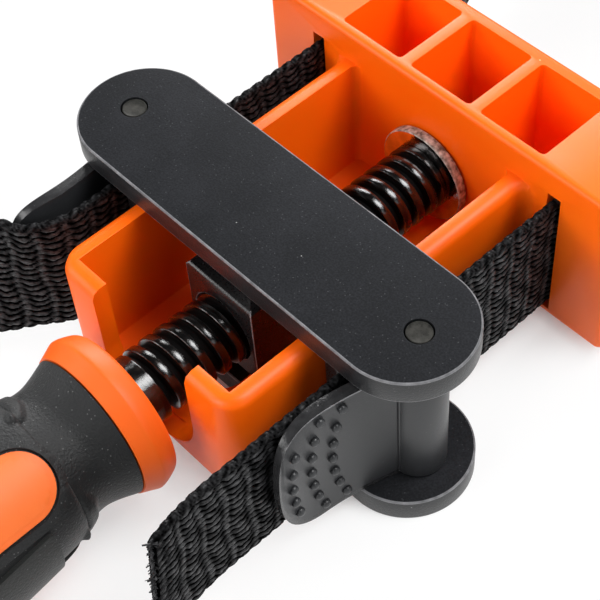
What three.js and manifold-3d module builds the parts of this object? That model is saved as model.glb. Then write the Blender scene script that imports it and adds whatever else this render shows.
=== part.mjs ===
// Band clamp tightened by a screw: a webbing strap runs from a screw-driven traveller through a slotted head
// and back, and two cam levers on the traveller hold its ends.
// Millimetres. +X runs along the screw from the handle to the head, +Y toward the left lever, +Z up.
// The origin is the middle of the underside of the bottom plate, on which the clamp lies.
import * as THREE from "three";
import { mergeVertices } from "three/addons/utils/BufferGeometryUtils.js";
import Module from "manifold-3d";

const wasm = await Module();
wasm.setup();

// Clearances
const seatGap = 0.3;
const overrun = 3;
const mergeStep = 1e-4;

// Webbing strap
const strapWidth = 25;
const strapThick = 1.6;
const strapOffset = 25.7;
const tailSplit = 15;
const loopSplit = 0.45;

// Traveller plates
const plateThick = 4.5;
const plateGap = 27.2;
const plateRadius = 10.76;
const plateArcOffset = 28.73;
const plateBevel = 0.4;
const pinOffset = 31.3;

// Pivot pins
const pinShankRadius = 1.5;
const pinHeadRadius = 2;
const pinHeadLength = 1.5;
const pinChamfer = 0.25;

// Anvil posts
const anvilInner = 20.5;
const anvilLength = 18;
const anvilCorner = 1.2;
const tenonLength = 11;
const tenonThick = 2.2;
const tenonDepth = 1.6;

// Nut block
const nutLength = 22;
const travelStop = 0.6;
const nutWidth = 14.8;
const nutBase = 10.5;
const nutHeight = 17.5;
const nutChamfer = 0.5;
const trunnionRadius = 3.6;
const trunnionDepth = 2.2;

// Cam levers
const leverHeight = 26.6;
const barrelRadius = 4.5;
const camFall = 0.6;
const camGripAngle = 100;
const camReleaseAngle = 15;
const camBackAngle = -40;
const barrelStep = 10;
const tabReach = 26.3;
const tabSet = 2.5;
const tabThick = 2;
const tabTipThick = 1.3;
const tabCornerLength = 9;
const tabFaceShares = [[0.1, 0.44], [0.53, -1.04], [0.76, -1.36], [1, -0.6]];
const tabWaistShare = 0.55;
const tabLowCornerShare = 0.55;
const tabHighCornerShare = 0.8;
const dotRadius = 0.95;
const dotRise = 0.45;
const dotPitch = 3.65;
const dotArcRadius = 30;
const dotInset = 3.2;
const dotColumnPitch = 3.85;
const dotCounts = [5, 7, 7];
const leftRestAngle = 7;

// Frame: open channel
const channelHalf = 17.15;
const channelWall = 3;
const channelBase = 6.5;
const channelTop = 30.9;
const channelFloor = 1.8;
const channelStart = -26.3;
const endWall = 2.9;
const channelCorner = 4.5;
const channelRound = 1.6;
const headFlare = 2.4;
const innerFillet = 1.4;
const notchRadius = 10.47;
const notchHeight = 18;

// Frame: slotted head
const headNear = 34.7;
const headDepth = 19;
const headHalf = 38.25;
const headBase = 3.7;
const headTop = 36.5;
const headCorner = 1.5;
const headRound = 0.9;
const headNearWall = 1.8;
const headFarWall = 2.4;
const pocketFloor = 3;
const pocketCorner = 0.8;
const centrePocketHalf = 6.45;
const pocketRib = 2.1;
const sidePocketEnd = 21.8;
const slotInnerPlay = 0.3;
const slotOuterPlay = 0.7;
const slotFootroom = 0.4;
const slotHeadroom = 1.1;

// Lead screw
const screwHeight = 18.4;
const threadRadius = 6;
const threadDepth = 1.25;
const threadPitch = 3;
const threadStart = -26.9;
const threadEnd = 30.4;
const threadShares = [0, 0.28, 0.5, 0.78];
const threadSteps = 12;
const runOutTurns = 0.5;
const frontShoulderRadius = 5.8;
const shoulderRadius = 5.9;
const shoulderLength = 3.4;
const shoulderChamfer = 0.3;
const coreInset = 0.05;
const shankRadius = 5;
const shankLength = 45;
const journalRadius = 4;
const journalEnd = 41.5;
const journalChamfer = 0.4;
const grooveRadius = 3.2;

// Washers and clip
const thrustRadius = 8.7;
const thrustThick = 1.74;
const thrustRound = 0.25;
const innerWasherRadius = 6;
const innerWasherThick = 1;
const clipRadius = 5.9;
const clipThick = 1.2;
const clipOpening = 84;

// Handle, measured back from the collar's front face
const collarFace = -31;
const collarFaceRadius = 12.2;
const collarRadius = 13.5;
const collarCrest = 3.4;
const collarEdge = 0.6;
const collarLength = 6;
const collarBackRadius = 12.4;
const coreRadius = 9.3;
const gripEnd = 87;
const gripFrontRadius = 12.1;
const waistAt = 11.3;
const waistRadius = 10.6;
const hollowAt = 15.9;
const hollowRadius = 11.2;
const swellAt = 20.5;
const swellRadius = 12.7;
const bellyAt = 54;
const bellyRadius = 15;
const gripBackRadius = 12.6;
const gripSteps = 15;
const handleSegments = 24;
const capLength = 8;
const capRound = 5;
const capSocket = 4;
const inlayAngle = 36;
const landAngle = 96;
const inlayStart = 17.3;
const inlayLength = 48;
const inlayHalf = 5.4;
const inlayGroove = 0.8;
const inlayRise = 0.2;
const landStart = 22;
const landLength = 46;
const landHalf = 5.6;
const landCorner = 0.8;
const landRise = 0.55;
const knobStart = 13.3;
const knobLength = 3.2;
const knobHalf = 5.9;
const knobRadius = 12.1;
const knobSkew = 10;
const crossPinRadius = 1.4;
const crossPinInset = 11;
const crossPinBore = 1.7;
const crossPinShort = 0.4;

// Strap ends, loop and roll
const cutEndAt = 47.8;
const cutSlant = 3.4;
const endBendAt = 34;
const endBendRadius = 50;
const tailBendAt = 16.5;
const tailBendRadius = 13;
const tailAngle = 50;
const tailLean = 12;
const tailLeanLength = 7;
const tailRun = 73;
const loopLeg = 9;
const loopFlareRadius = 16;
const loopFlareAngle = 40;
const rollPitch = 2.1;
const rollRadius = 50;
const rollTurns = 17;
const rollSteps = 20;
const arcStep = 10;

const radians = THREE.MathUtils.degToRad;

// Places that follow from the sizes
const plateTopBase = plateThick + plateGap;
const clampTop = plateTopBase + plateThick;
const plateReach = plateArcOffset + plateRadius;
const strapBase = plateThick + (plateGap - strapWidth) / 2;
const leverBase = plateThick + (plateGap - leverHeight) / 2;
const anvilOuter = strapOffset - strapThick / 2 - seatGap;
const anvilMiddle = (anvilInner + anvilOuter) / 2;
const headFar = headNear + headDepth;
const channelOuter = channelHalf + channelWall;
const cavityStart = channelStart + endWall;
const thrustAt = headNear - seatGap - thrustThick;
const travelBack = cavityStart + travelStop + nutLength / 2;
const travelForward = thrustAt - travelStop - nutLength / 2;
const boreRadius = journalRadius + seatGap;
const crossPinAt = shankLength - crossPinInset;
const innerWasherAt = headNear + headNearWall + seatGap;
const clipAt = innerWasherAt + innerWasherThick + seatGap;
const gripFront = collarLength + seatGap;
const gripBore = coreRadius + seatGap;
const strapFront = headFar + loopSplit;

const look = (color, roughness, metalness) => new THREE.MeshStandardMaterial({ color, roughness, metalness });
const orangePlastic = look(0xee5a06, 0.32, 0);
const blackPlastic = look(0x1d1e21, 0.42, 0);
const blackNylon = look(0x26272b, 0.5, 0);
const oiledSteel = look(0x17130f, 0.22, 0.85);
const brightSteel = look(0xb9b7b2, 0.25, 1);
const greySteel = look(0x66645f, 0.45, 0.9);
const rubber = look(0x2c2d30, 0.75, 0);
const webbingFabric = look(0x1c1d20, 0.85, 0);

// A closed geometry as a solid that can be joined and cut.
function solid(geometry) {
  const bare = geometry.clone();
  bare.deleteAttribute("normal");
  bare.deleteAttribute("uv");
  const merged = mergeVertices(bare, mergeStep);
  const vertProperties = merged.attributes.position.array;
  const corners = Array.from(merged.index.array);
  const kept = [];
  for (let i = 0; i < corners.length; i += 3) {
    const [a, b, c] = corners.slice(i, i + 3);
    if (a !== b && b !== c && c !== a) kept.push(a, b, c);
  }
  const triVerts = new Uint32Array(kept);
  return new wasm.Manifold(new wasm.Mesh({ numProp: 3, vertProperties, triVerts }));
}

function geometryOf(manifold) {
  const { numProp, vertProperties, triVerts } = manifold.getMesh();
  const positions = new Float32Array((vertProperties.length / numProp) * 3);
  for (let i = 0; i < positions.length / 3; i++)
    positions.set(vertProperties.subarray(i * numProp, i * numProp + 3), i * 3);
  const geometry = new THREE.BufferGeometry();
  geometry.setAttribute("position", new THREE.BufferAttribute(positions, 3));
  geometry.setIndex(new THREE.BufferAttribute(triVerts, 1));
  const flat = geometry.toNonIndexed();
  flat.computeVertexNormals();
  return flat;
}

function piece(name, shape, material) {
  const mesh = new THREE.Mesh(shape.isBufferGeometry ? shape : geometryOf(shape), material);
  mesh.name = name;
  return mesh;
}

// A profile of [x, radius] points turned about the X axis, listed from low x outside to high x.
function turned(points, segments = 20) {
  const profile = points.map(([x, radius]) => new THREE.Vector2(radius, x));
  return new THREE.LatheGeometry(profile, segments).rotateZ(-Math.PI / 2);
}

function rod(x0, x1, radius, segments = 20) {
  return turned([[x0, 0], [x0, radius], [x1, radius], [x1, 0]], segments);
}

function ring(x0, x1, inner, outer, segments = 20) {
  return turned([[x0, inner], [x0, outer], [x1, outer], [x1, inner], [x0, inner]], segments);
}

// A profile of [z, radius] points turned about a vertical axis at (x, y).
function upright(x, y, points, segments = 12) {
  const profile = points.map(([z, radius]) => new THREE.Vector2(radius, z));
  return new THREE.LatheGeometry(profile, segments).rotateX(Math.PI / 2).translate(x, y, 0);
}

function pillar(x, y, z0, z1, radius, segments = 16) {
  return upright(x, y, [[z0, 0], [z0, radius], [z1, radius], [z1, 0]], segments);
}

function box([x0, x1], [y0, y1], [z0, z1]) {
  const geometry = new THREE.BoxGeometry(x1 - x0, y1 - y0, z1 - z0);
  return geometry.translate((x0 + x1) / 2, (y0 + y1) / 2, (z0 + z1) / 2);
}

// An outline as straight steps, without the repeated points where its arcs meet.
function stepped(shape, curveSegments) {
  const points = shape.getPoints(curveSegments);
  const isNew = (point, i) => point.distanceTo(points[(i || points.length) - 1]) > mergeStep;
  return new THREE.Shape(points.filter(isNew));
}

// A plan outline raised from z0 to z1, with its edges rounded inside that outline.
function raised(shape, z0, z1, round = 0, bevelSegments = 2, curveSegments = 6) {
  const geometry = new THREE.ExtrudeGeometry(stepped(shape, curveSegments), {
    depth: z1 - z0 - 2 * round,
    bevelEnabled: round > 0,
    bevelThickness: round,
    bevelSize: round,
    bevelOffset: -round,
    bevelSegments,
  });
  return geometry.translate(0, 0, z0 + round);
}

// A cross-section in y and z, run along X.
function alongX(shape, x0, x1, curveSegments = 12) {
  const outline = stepped(shape, curveSegments);
  const geometry = new THREE.ExtrudeGeometry(outline, { depth: x1 - x0, bevelEnabled: false });
  const turn = new THREE.Matrix4().set(0, 0, 1, 0, 1, 0, 0, 0, 0, 1, 0, 0, 0, 0, 0, 1);
  return geometry.applyMatrix4(turn).translate(x0, 0, 0);
}

// A side outline in x and z, run along Y.
function alongY(shape, y0, y1, curveSegments = 8) {
  const outline = stepped(shape, curveSegments);
  const geometry = new THREE.ExtrudeGeometry(outline, { depth: y1 - y0, bevelEnabled: false });
  return geometry.rotateX(Math.PI / 2).translate(0, y1, 0);
}

function roundedRectangle(x0, x1, y0, y1, radius) {
  const shape = new THREE.Shape();
  shape.absarc(x1 - radius, y1 - radius, radius, 0, Math.PI / 2, false);
  shape.absarc(x0 + radius, y1 - radius, radius, Math.PI / 2, Math.PI, false);
  shape.absarc(x0 + radius, y0 + radius, radius, Math.PI, 1.5 * Math.PI, false);
  shape.absarc(x1 - radius, y0 + radius, radius, 1.5 * Math.PI, 2 * Math.PI, false);
  shape.closePath();
  return shape;
}

// An outline with round ends, lengthwise along X.
function obround(x0, x1, radius) {
  const shape = new THREE.Shape();
  shape.absarc(x1 - radius, 0, radius, -Math.PI / 2, Math.PI / 2, false);
  shape.absarc(x0 + radius, 0, radius, Math.PI / 2, 1.5 * Math.PI, false);
  shape.closePath();
  return shape;
}

// The frame's channel in plan: rounded at the handle end, flared into the head.
function channelPlan() {
  const flareY = channelOuter + headFlare;
  const flareX = headNear - headFlare;
  const cornerX = channelStart + channelCorner;
  const cornerY = channelOuter - channelCorner;
  const inHead = headNear + headDepth / 2;
  const shape = new THREE.Shape();
  shape.moveTo(inHead, -flareY);
  shape.lineTo(inHead, flareY);
  shape.absarc(flareX, flareY, headFlare, 0, -Math.PI / 2, true);
  shape.absarc(cornerX, cornerY, channelCorner, Math.PI / 2, Math.PI, false);
  shape.absarc(cornerX, -cornerY, channelCorner, Math.PI, 1.5 * Math.PI, false);
  shape.absarc(flareX, -flareY, headFlare, Math.PI / 2, 0, true);
  shape.closePath();
  return shape;
}

function cavityPlan() {
  const filletX = headNear - innerFillet;
  const filletY = channelHalf - innerFillet;
  const shape = new THREE.Shape();
  shape.moveTo(cavityStart, -channelHalf);
  shape.lineTo(filletX, -channelHalf);
  shape.absarc(filletX, -filletY, innerFillet, -Math.PI / 2, 0, false);
  shape.absarc(filletX, filletY, innerFillet, 0, Math.PI / 2, false);
  shape.lineTo(cavityStart, channelHalf);
  shape.closePath();
  return shape;
}

function notchSection() {
  const shape = new THREE.Shape();
  shape.moveTo(-notchRadius, channelTop + overrun);
  shape.lineTo(-notchRadius, notchHeight);
  shape.absarc(0, notchHeight, notchRadius, Math.PI, 2 * Math.PI, false);
  shape.lineTo(notchRadius, channelTop + overrun);
  shape.closePath();
  return shape;
}

function frameSolid() {
  const floorTop = channelBase + channelFloor;
  const headPlan = roundedRectangle(headNear, headFar, -headHalf, headHalf, headCorner);
  const slotRadius = trunnionRadius + seatGap;
  const slotReach = slotRadius + seatGap;
  const floorSlot = obround(travelBack - slotReach, travelForward + slotReach, slotRadius);
  const pocketX = [headNear + headNearWall, headFar - headFarWall];
  const sideStart = centrePocketHalf + pocketRib;
  const pockets = [
    [-centrePocketHalf, centrePocketHalf],
    [sideStart, sidePocketEnd],
    [-sidePocketEnd, -sideStart],
  ];
  const slotNear = strapOffset - strapThick / 2 - slotInnerPlay;
  const slotFar = strapOffset + strapThick / 2 + slotOuterPlay;
  const slotZ = [strapBase - slotFootroom, strapBase + strapWidth + slotHeadroom];
  const throughHead = [headNear - overrun, headFar + overrun];
  const cuts = [
    raised(cavityPlan(), floorTop, channelTop + overrun),
    alongX(notchSection(), channelStart - overrun, cavityStart + seatGap, 16),
    raised(floorSlot, channelBase - overrun, floorTop + overrun),
    box(throughHead, [slotNear, slotFar], slotZ),
    box(throughHead, [-slotFar, -slotNear], slotZ),
    rod(headNear - overrun, innerWasherAt + overrun, boreRadius).translate(0, 0, screwHeight),
  ];
  for (const [y0, y1] of pockets) {
    const plan = roundedRectangle(pocketX[0], pocketX[1], y0, y1, pocketCorner);
    cuts.push(raised(plan, headBase + pocketFloor, headTop + overrun, 0, 1, 3));
  }
  const channel = solid(raised(channelPlan(), channelBase, channelTop, channelRound));
  const head = solid(raised(headPlan, headBase, headTop, headRound));
  return cuts.reduce((body, cut) => body.subtract(solid(cut)), channel.add(head));
}

// One traveller plate, with pin holes, mortises and a trunnion seat on its inner face.
function plateSolid(z0, z1, inner, outer) {
  const inward = Math.sign(outer - inner);
  const outline = obround(-plateReach, plateReach, plateRadius);
  let plate = solid(raised(outline, z0, z1, plateBevel, 1, 11).rotateZ(Math.PI / 2));
  const seat = [inner - overrun * inward, inner + trunnionDepth * inward].sort((a, b) => a - b);
  const mortise = [inner - overrun * inward, inner + tenonDepth * inward].sort((a, b) => a - b);
  const boreDepth = pinHeadLength + seatGap;
  const counterbore = [outer - boreDepth * inward, outer + overrun * inward].sort((a, b) => a - b);
  plate = plate.subtract(solid(pillar(0, 0, ...seat, trunnionRadius + seatGap)));
  for (const side of [-1, 1]) {
    const tenonX = [-tenonLength / 2 - seatGap, tenonLength / 2 + seatGap];
    const tenonHalf = tenonThick / 2 + seatGap;
    const tenonY = [side * anvilMiddle - tenonHalf, side * anvilMiddle + tenonHalf];
    plate = plate.subtract(solid(box(tenonX, tenonY, mortise)));
    const shankHole = pillar(0, side * pinOffset, z0 - overrun, z1 + overrun, pinShankRadius + seatGap);
    plate = plate.subtract(solid(shankHole));
    plate = plate.subtract(solid(pillar(0, side * pinOffset, ...counterbore, pinHeadRadius + seatGap)));
  }
  return plate;
}

function nutBlockSolid() {
  const nutTop = nutBase + nutHeight;
  const outline = new THREE.Shape();
  outline.moveTo(-nutLength / 2, -nutWidth / 2);
  outline.lineTo(nutLength / 2, -nutWidth / 2);
  outline.lineTo(nutLength / 2, nutWidth / 2);
  outline.lineTo(-nutLength / 2, nutWidth / 2);
  outline.closePath();
  const block = solid(raised(outline, nutBase, nutTop, nutChamfer, 1));
  const lowEnd = plateThick - trunnionDepth + seatGap;
  const highEnd = plateTopBase + trunnionDepth - seatGap;
  const lower = solid(pillar(0, 0, lowEnd, nutBase + nutChamfer, trunnionRadius));
  const upper = solid(pillar(0, 0, nutTop - nutChamfer, highEnd, trunnionRadius));
  const bore = rod(-nutLength / 2 - overrun, nutLength / 2 + overrun, threadRadius + seatGap);
  return block.add(lower).add(upper).subtract(solid(bore.translate(0, 0, screwHeight)));
}

function anvilSolid() {
  const base = plateThick + seatGap;
  const top = plateTopBase - seatGap;
  const plan = roundedRectangle(-anvilLength / 2, anvilLength / 2, anvilInner, anvilOuter, anvilCorner);
  const tenonX = [-tenonLength / 2, tenonLength / 2];
  const tenonY = [anvilMiddle - tenonThick / 2, anvilMiddle + tenonThick / 2];
  const tenonZ = [plateThick - tenonDepth + seatGap, plateTopBase + tenonDepth - seatGap];
  return solid(raised(plan, base, top)).add(solid(box(tenonX, tenonY, tenonZ)));
}

function pinProfile() {
  const base = seatGap;
  return [
    [base, 0],
    [base, pinHeadRadius - pinChamfer],
    [base + pinChamfer, pinHeadRadius],
    [base + pinHeadLength - seatGap, pinHeadRadius],
    [base + pinHeadLength - seatGap, pinShankRadius],
    [clampTop - pinHeadLength, pinShankRadius],
    [clampTop - pinHeadLength, pinHeadRadius],
    [clampTop - pinChamfer, pinHeadRadius],
    [clampTop, pinHeadRadius - pinChamfer],
    [clampTop, 0],
  ];
}

// The cam's radius at an angle from +X toward the strap: it falls from the grip line to the release line.
function camRadius(angle) {
  if (angle >= camReleaseAngle && angle <= camGripAngle)
    return barrelRadius - (camFall * (camGripAngle - angle)) / (camGripAngle - camReleaseAngle);
  if (angle > camBackAngle && angle < camReleaseAngle)
    return barrelRadius - (camFall * (angle - camBackAngle)) / (camReleaseAngle - camBackAngle);
  return barrelRadius;
}

// The thumb tab's outer face in plan, as a curve from the barrel to the tip.
function tabFace(setBack = [0, 0, 0, 0]) {
  const points = tabFaceShares.map(
    ([along, out], i) => new THREE.Vector2(-along * tabReach, out * tabSet - setBack[i]),
  );
  return new THREE.CubicBezierCurve(...points);
}

function tabPlan() {
  const outer = tabFace();
  const inner = tabFace([tabThick, tabThick, tabThick, tabTipThick]);
  const shape = new THREE.Shape();
  shape.moveTo(outer.v0.x, outer.v0.y);
  shape.bezierCurveTo(outer.v1.x, outer.v1.y, outer.v2.x, outer.v2.y, outer.v3.x, outer.v3.y);
  shape.lineTo(inner.v3.x, inner.v3.y);
  shape.bezierCurveTo(inner.v2.x, inner.v2.y, inner.v1.x, inner.v1.y, inner.v0.x, inner.v0.y);
  shape.closePath();
  return shape;
}

function tabSide() {
  const start = tabCornerLength - tabReach;
  const waist = leverHeight * tabWaistShare;
  const shape = new THREE.Shape();
  const lowX = -tabReach + tabCornerLength * (1 - tabLowCornerShare);
  const highX = -tabReach + tabCornerLength * (1 - tabHighCornerShare);
  const highZ = waist + (leverHeight - waist) * tabHighCornerShare;
  shape.moveTo(0, 0);
  shape.lineTo(start, 0);
  shape.bezierCurveTo(lowX, 0, -tabReach, waist * (1 - tabLowCornerShare), -tabReach, waist);
  shape.bezierCurveTo(-tabReach, highZ, highX, leverHeight, start, leverHeight);
  shape.lineTo(0, leverHeight);
  shape.closePath();
  return shape;
}

// The height of the tab's outer face where it is a given distance from the pin.
function faceAt(distance) {
  const face = tabFace();
  let low = 0;
  let high = 1;
  for (let i = 0; i < 20; i++) {
    const middle = (low + high) / 2;
    if (-face.getPoint(middle).x < distance) low = middle;
    else high = middle;
  }
  return face.getPoint(low).y;
}

// A cam lever with its pin on the Z axis, its tab toward -X and the strap on its -Y side.
function leverSolid() {
  const barrelPlan = new THREE.Shape();
  for (let degrees = -180; degrees < 180; degrees += barrelStep) {
    const radius = camRadius(degrees);
    const angle = radians(-degrees);
    const method = degrees === -180 ? "moveTo" : "lineTo";
    barrelPlan[method](radius * Math.cos(angle), radius * Math.sin(angle));
  }
  barrelPlan.closePath();
  const tab = solid(raised(tabPlan(), 0, leverHeight, 0, 1, 10)).intersect(
    solid(alongY(tabSide(), -2 * barrelRadius, 2 * barrelRadius)),
  );
  let lever = solid(raised(barrelPlan, 0, leverHeight)).add(tab);
  dotCounts.forEach((count, column) => {
    for (let i = 0; i < count; i++) {
      const rise = (i - (count - 1) / 2) * dotPitch;
      const sag = dotArcRadius - Math.sqrt(dotArcRadius ** 2 - rise ** 2);
      const distance = tabReach - dotInset - column * dotColumnPitch - sag;
      const dot = new THREE.SphereGeometry(dotRadius, 6, 4).scale(1, dotRise / dotRadius, 1);
      lever = lever.add(solid(dot.translate(-distance, faceAt(distance), leverHeight / 2 + rise)));
    }
  });
  return lever.subtract(solid(pillar(0, 0, -overrun, leverHeight + overrun, pinShankRadius + seatGap)));
}

// The right-hand thread as one closed surface that follows the helix, with its depth run out at both ends.
function threadGeometry() {
  const perTurn = threadShares.length;
  const turns = Math.floor((threadEnd - threadStart) / threadPitch);
  const last = (turns - 1) * perTurn;
  const positions = [];
  const indices = [];
  for (let k = 0; k <= last; k++)
    for (let j = 0; j < threadSteps; j++) {
      const along = Math.floor(k / perTurn) + threadShares[k % perTurn] + j / threadSteps;
      const runOut = Math.min(1, along / runOutTurns, (turns - along) / runOutTurns);
      const isCrest = k % perTurn >= perTurn / 2;
      const radius = threadRadius - threadDepth * (isCrest ? 1 - runOut : 1);
      const angle = (2 * Math.PI * j) / threadSteps;
      positions.push(threadStart + threadPitch * along, radius * Math.cos(angle), radius * Math.sin(angle));
    }
  const at = (j, k) => (j < threadSteps ? k * threadSteps + j : (k + perTurn) * threadSteps);
  const startCentre = positions.length / 3;
  positions.push(threadStart + threadPitch / 2, 0, 0);
  positions.push(threadStart + threadPitch * (turns - 1 / 2), 0, 0);
  const endCentre = startCentre + 1;
  for (let j = 0; j < threadSteps; j++) {
    const wraps = j === threadSteps - 1;
    const rows = wraps ? last - perTurn : last;
    for (let k = 0; k < rows; k++) {
      indices.push(at(j, k), at(j + 1, k), at(j + 1, k + 1));
      indices.push(at(j, k), at(j + 1, k + 1), at(j, k + 1));
    }
    indices.push(startCentre, at(j + 1, 0), at(j, 0));
    if (!wraps) indices.push(endCentre, at(j, last), at(j + 1, last));
  }
  indices.push(endCentre, at(threadSteps - 1, last - perTurn), at(0, last));
  for (let k = 0; k < perTurn; k++) {
    indices.push(startCentre, at(0, k), at(0, k + 1));
    const down = last - k;
    indices.push(endCentre, at(threadSteps - 1, down), at(threadSteps - 1, down - 1));
  }
  const geometry = new THREE.BufferGeometry();
  geometry.setAttribute("position", new THREE.Float32BufferAttribute(positions, 3));
  geometry.setIndex(indices);
  return geometry;
}

function screwSolid() {
  const rootRadius = threadRadius - threadDepth;
  const shoulderEnd = collarFace + seatGap + shoulderLength;
  const frontShoulderEnd = thrustAt - seatGap;
  const grooveStart = clipAt - seatGap;
  const grooveEnd = clipAt + clipThick + seatGap;
  const rear = [
    [collarFace - shankLength, 0],
    [collarFace - shankLength, shankRadius],
    [collarFace + seatGap, shankRadius],
    [collarFace + seatGap, shoulderRadius - shoulderChamfer],
    [collarFace + seatGap + shoulderChamfer, shoulderRadius],
    [shoulderEnd - shoulderChamfer, shoulderRadius],
    [shoulderEnd, rootRadius],
    [threadStart + threadPitch, rootRadius - coreInset],
    [threadStart + threadPitch, 0],
  ];
  const front = [
    [threadEnd - threadPitch, 0],
    [threadEnd - threadPitch, rootRadius - coreInset],
    [threadEnd, frontShoulderRadius],
    [frontShoulderEnd, frontShoulderRadius],
    [frontShoulderEnd, journalRadius],
    [grooveStart, journalRadius],
    [grooveStart, grooveRadius],
    [grooveEnd, grooveRadius],
    [grooveEnd, journalRadius],
    [journalEnd - journalChamfer, journalRadius],
    [journalEnd, journalRadius - journalChamfer],
    [journalEnd, 0],
  ];
  const reach = shankRadius + overrun;
  const pinHole = pillar(collarFace - crossPinAt, 0, -reach, reach, crossPinBore, 12);
  const body = solid(threadGeometry()).add(solid(turned(rear))).add(solid(turned(front)));
  return body.subtract(solid(pinHole));
}

function clipShape() {
  const half = radians(clipOpening / 2);
  const inner = grooveRadius + seatGap;
  const shape = new THREE.Shape();
  shape.absarc(0, 0, clipRadius, half, 2 * Math.PI - half, false);
  shape.absarc(0, 0, inner, 2 * Math.PI - half, half, true);
  shape.closePath();
  return shape;
}

// The grip's outer line, from its back end to its front, as [x, radius] points.
function gripLine(extra = 0) {
  const knots = [
    [gripEnd, gripBackRadius],
    [bellyAt, bellyRadius],
    [swellAt, swellRadius],
    [hollowAt, hollowRadius],
    [waistAt, waistRadius],
    [gripFront, gripFrontRadius],
  ];
  const places = knots.map(([back, radius]) => new THREE.Vector2(collarFace - back, radius));
  const curve = new THREE.SplineCurve(places);
  return curve.getPoints(gripSteps).map((point) => [point.x, point.y + extra]);
}

function gripForm(extra) {
  const line = gripLine(extra);
  return solid(turned([[line[0][0], 0], ...line, [line[line.length - 1][0], 0]], handleSegments));
}

// A prism over the handle's side, at an angle from +Z toward -Y.
function sidePrism(shape, curveSteps, angle) {
  const form = raised(shape, coreRadius - overrun, bellyRadius + overrun, 0, 1, curveSteps);
  return solid(form.rotateX(radians(angle)));
}

function pad(start, length, half, angle) {
  const from = collarFace - start - length;
  return sidePrism(obround(from, from + length, half), 8, angle);
}

function squarePad(start, length, half, angle) {
  const from = collarFace - start - length;
  return sidePrism(roundedRectangle(from, from + length, -half, half, landCorner), 3, angle);
}

function thirds(angle) {
  return [angle, angle + 120, angle + 240];
}

function gripSolid() {
  let grip = gripForm(0);
  const knobRing = solid(rod(collarFace - gripEnd, collarFace - collarLength, knobRadius));
  for (const angle of thirds(landAngle)) {
    grip = grip.add(gripForm(landRise).intersect(squarePad(landStart, landLength, landHalf, angle)));
    grip = grip.add(knobRing.intersect(squarePad(knobStart, knobLength, knobHalf, angle - knobSkew)));
  }
  grip = grip.subtract(solid(rod(collarFace - gripEnd - overrun, collarFace, gripBore)));
  for (const angle of thirds(inlayAngle)) {
    const start = inlayStart - inlayGroove;
    grip = grip.subtract(pad(start, inlayLength + 2 * inlayGroove, inlayHalf + inlayGroove, angle));
  }
  return grip;
}

function handleCoreSolid() {
  const back = collarFace - gripEnd - capSocket + seatGap;
  const boreEnd = collarFace - shankLength - seatGap;
  const collarBack = collarFace - collarLength;
  const arch = new THREE.SplineCurve([
    new THREE.Vector2(collarBack, collarBackRadius),
    new THREE.Vector2(collarFace - collarCrest, collarRadius),
    new THREE.Vector2(collarFace - collarEdge, collarFaceRadius + collarEdge),
    new THREE.Vector2(collarFace, collarFaceRadius),
  ]);
  const rim = arch.getPoints(6).map((point) => [point.x, point.y]);
  const shankBore = shankRadius + seatGap;
  let core = solid(turned([
    [back, 0],
    [back, coreRadius],
    [collarBack, coreRadius],
    ...rim,
    [collarFace, shankBore],
    [boreEnd, shankBore],
    [boreEnd, 0],
  ], handleSegments));
  for (const angle of thirds(inlayAngle))
    core = core.add(gripForm(inlayRise).intersect(pad(inlayStart, inlayLength, inlayHalf, angle)));
  const pinX = collarFace - crossPinAt;
  return core.subtract(solid(pillar(pinX, 0, -coreRadius - overrun, coreRadius + overrun, crossPinBore, 12)));
}

function endCapGeometry() {
  const front = collarFace - gripEnd - seatGap;
  const back = front - capLength;
  const socket = collarFace - gripEnd - capSocket;
  const dome = new THREE.Path();
  dome.absellipse(back + capRound, gripBackRadius - capRound, capRound, capRound, Math.PI, Math.PI / 2, true);
  return turned([
    [back, 0],
    ...dome.getPoints(3).map((point) => [point.x, point.y]),
    [front, gripBackRadius],
    [front, gripBore],
    [socket, gripBore],
    [socket, 0],
  ]);
}

// A route over the ground: stations with a place, a heading in degrees and the distance run.
function route(x, y, heading) {
  const stations = [{ x, y, heading, run: 0 }];
  const step = (length, turn) => {
    const from = stations[stations.length - 1];
    const middle = radians(from.heading + turn / 2);
    stations.push({
      x: from.x + length * Math.cos(middle),
      y: from.y + length * Math.sin(middle),
      heading: from.heading + turn,
      run: from.run + length,
    });
  };
  return {
    stations,
    go(length, steps = 1) {
      for (let i = 0; i < steps; i++) step(length / steps, 0);
      return this;
    },
    turn(radius, degrees) {
      const steps = Math.ceil(Math.abs(degrees) / arcStep);
      const turn = degrees / steps;
      for (let i = 0; i < steps; i++) step(2 * radius * Math.sin(radians(Math.abs(turn) / 2)), turn);
      return this;
    },
  };
}

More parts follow.
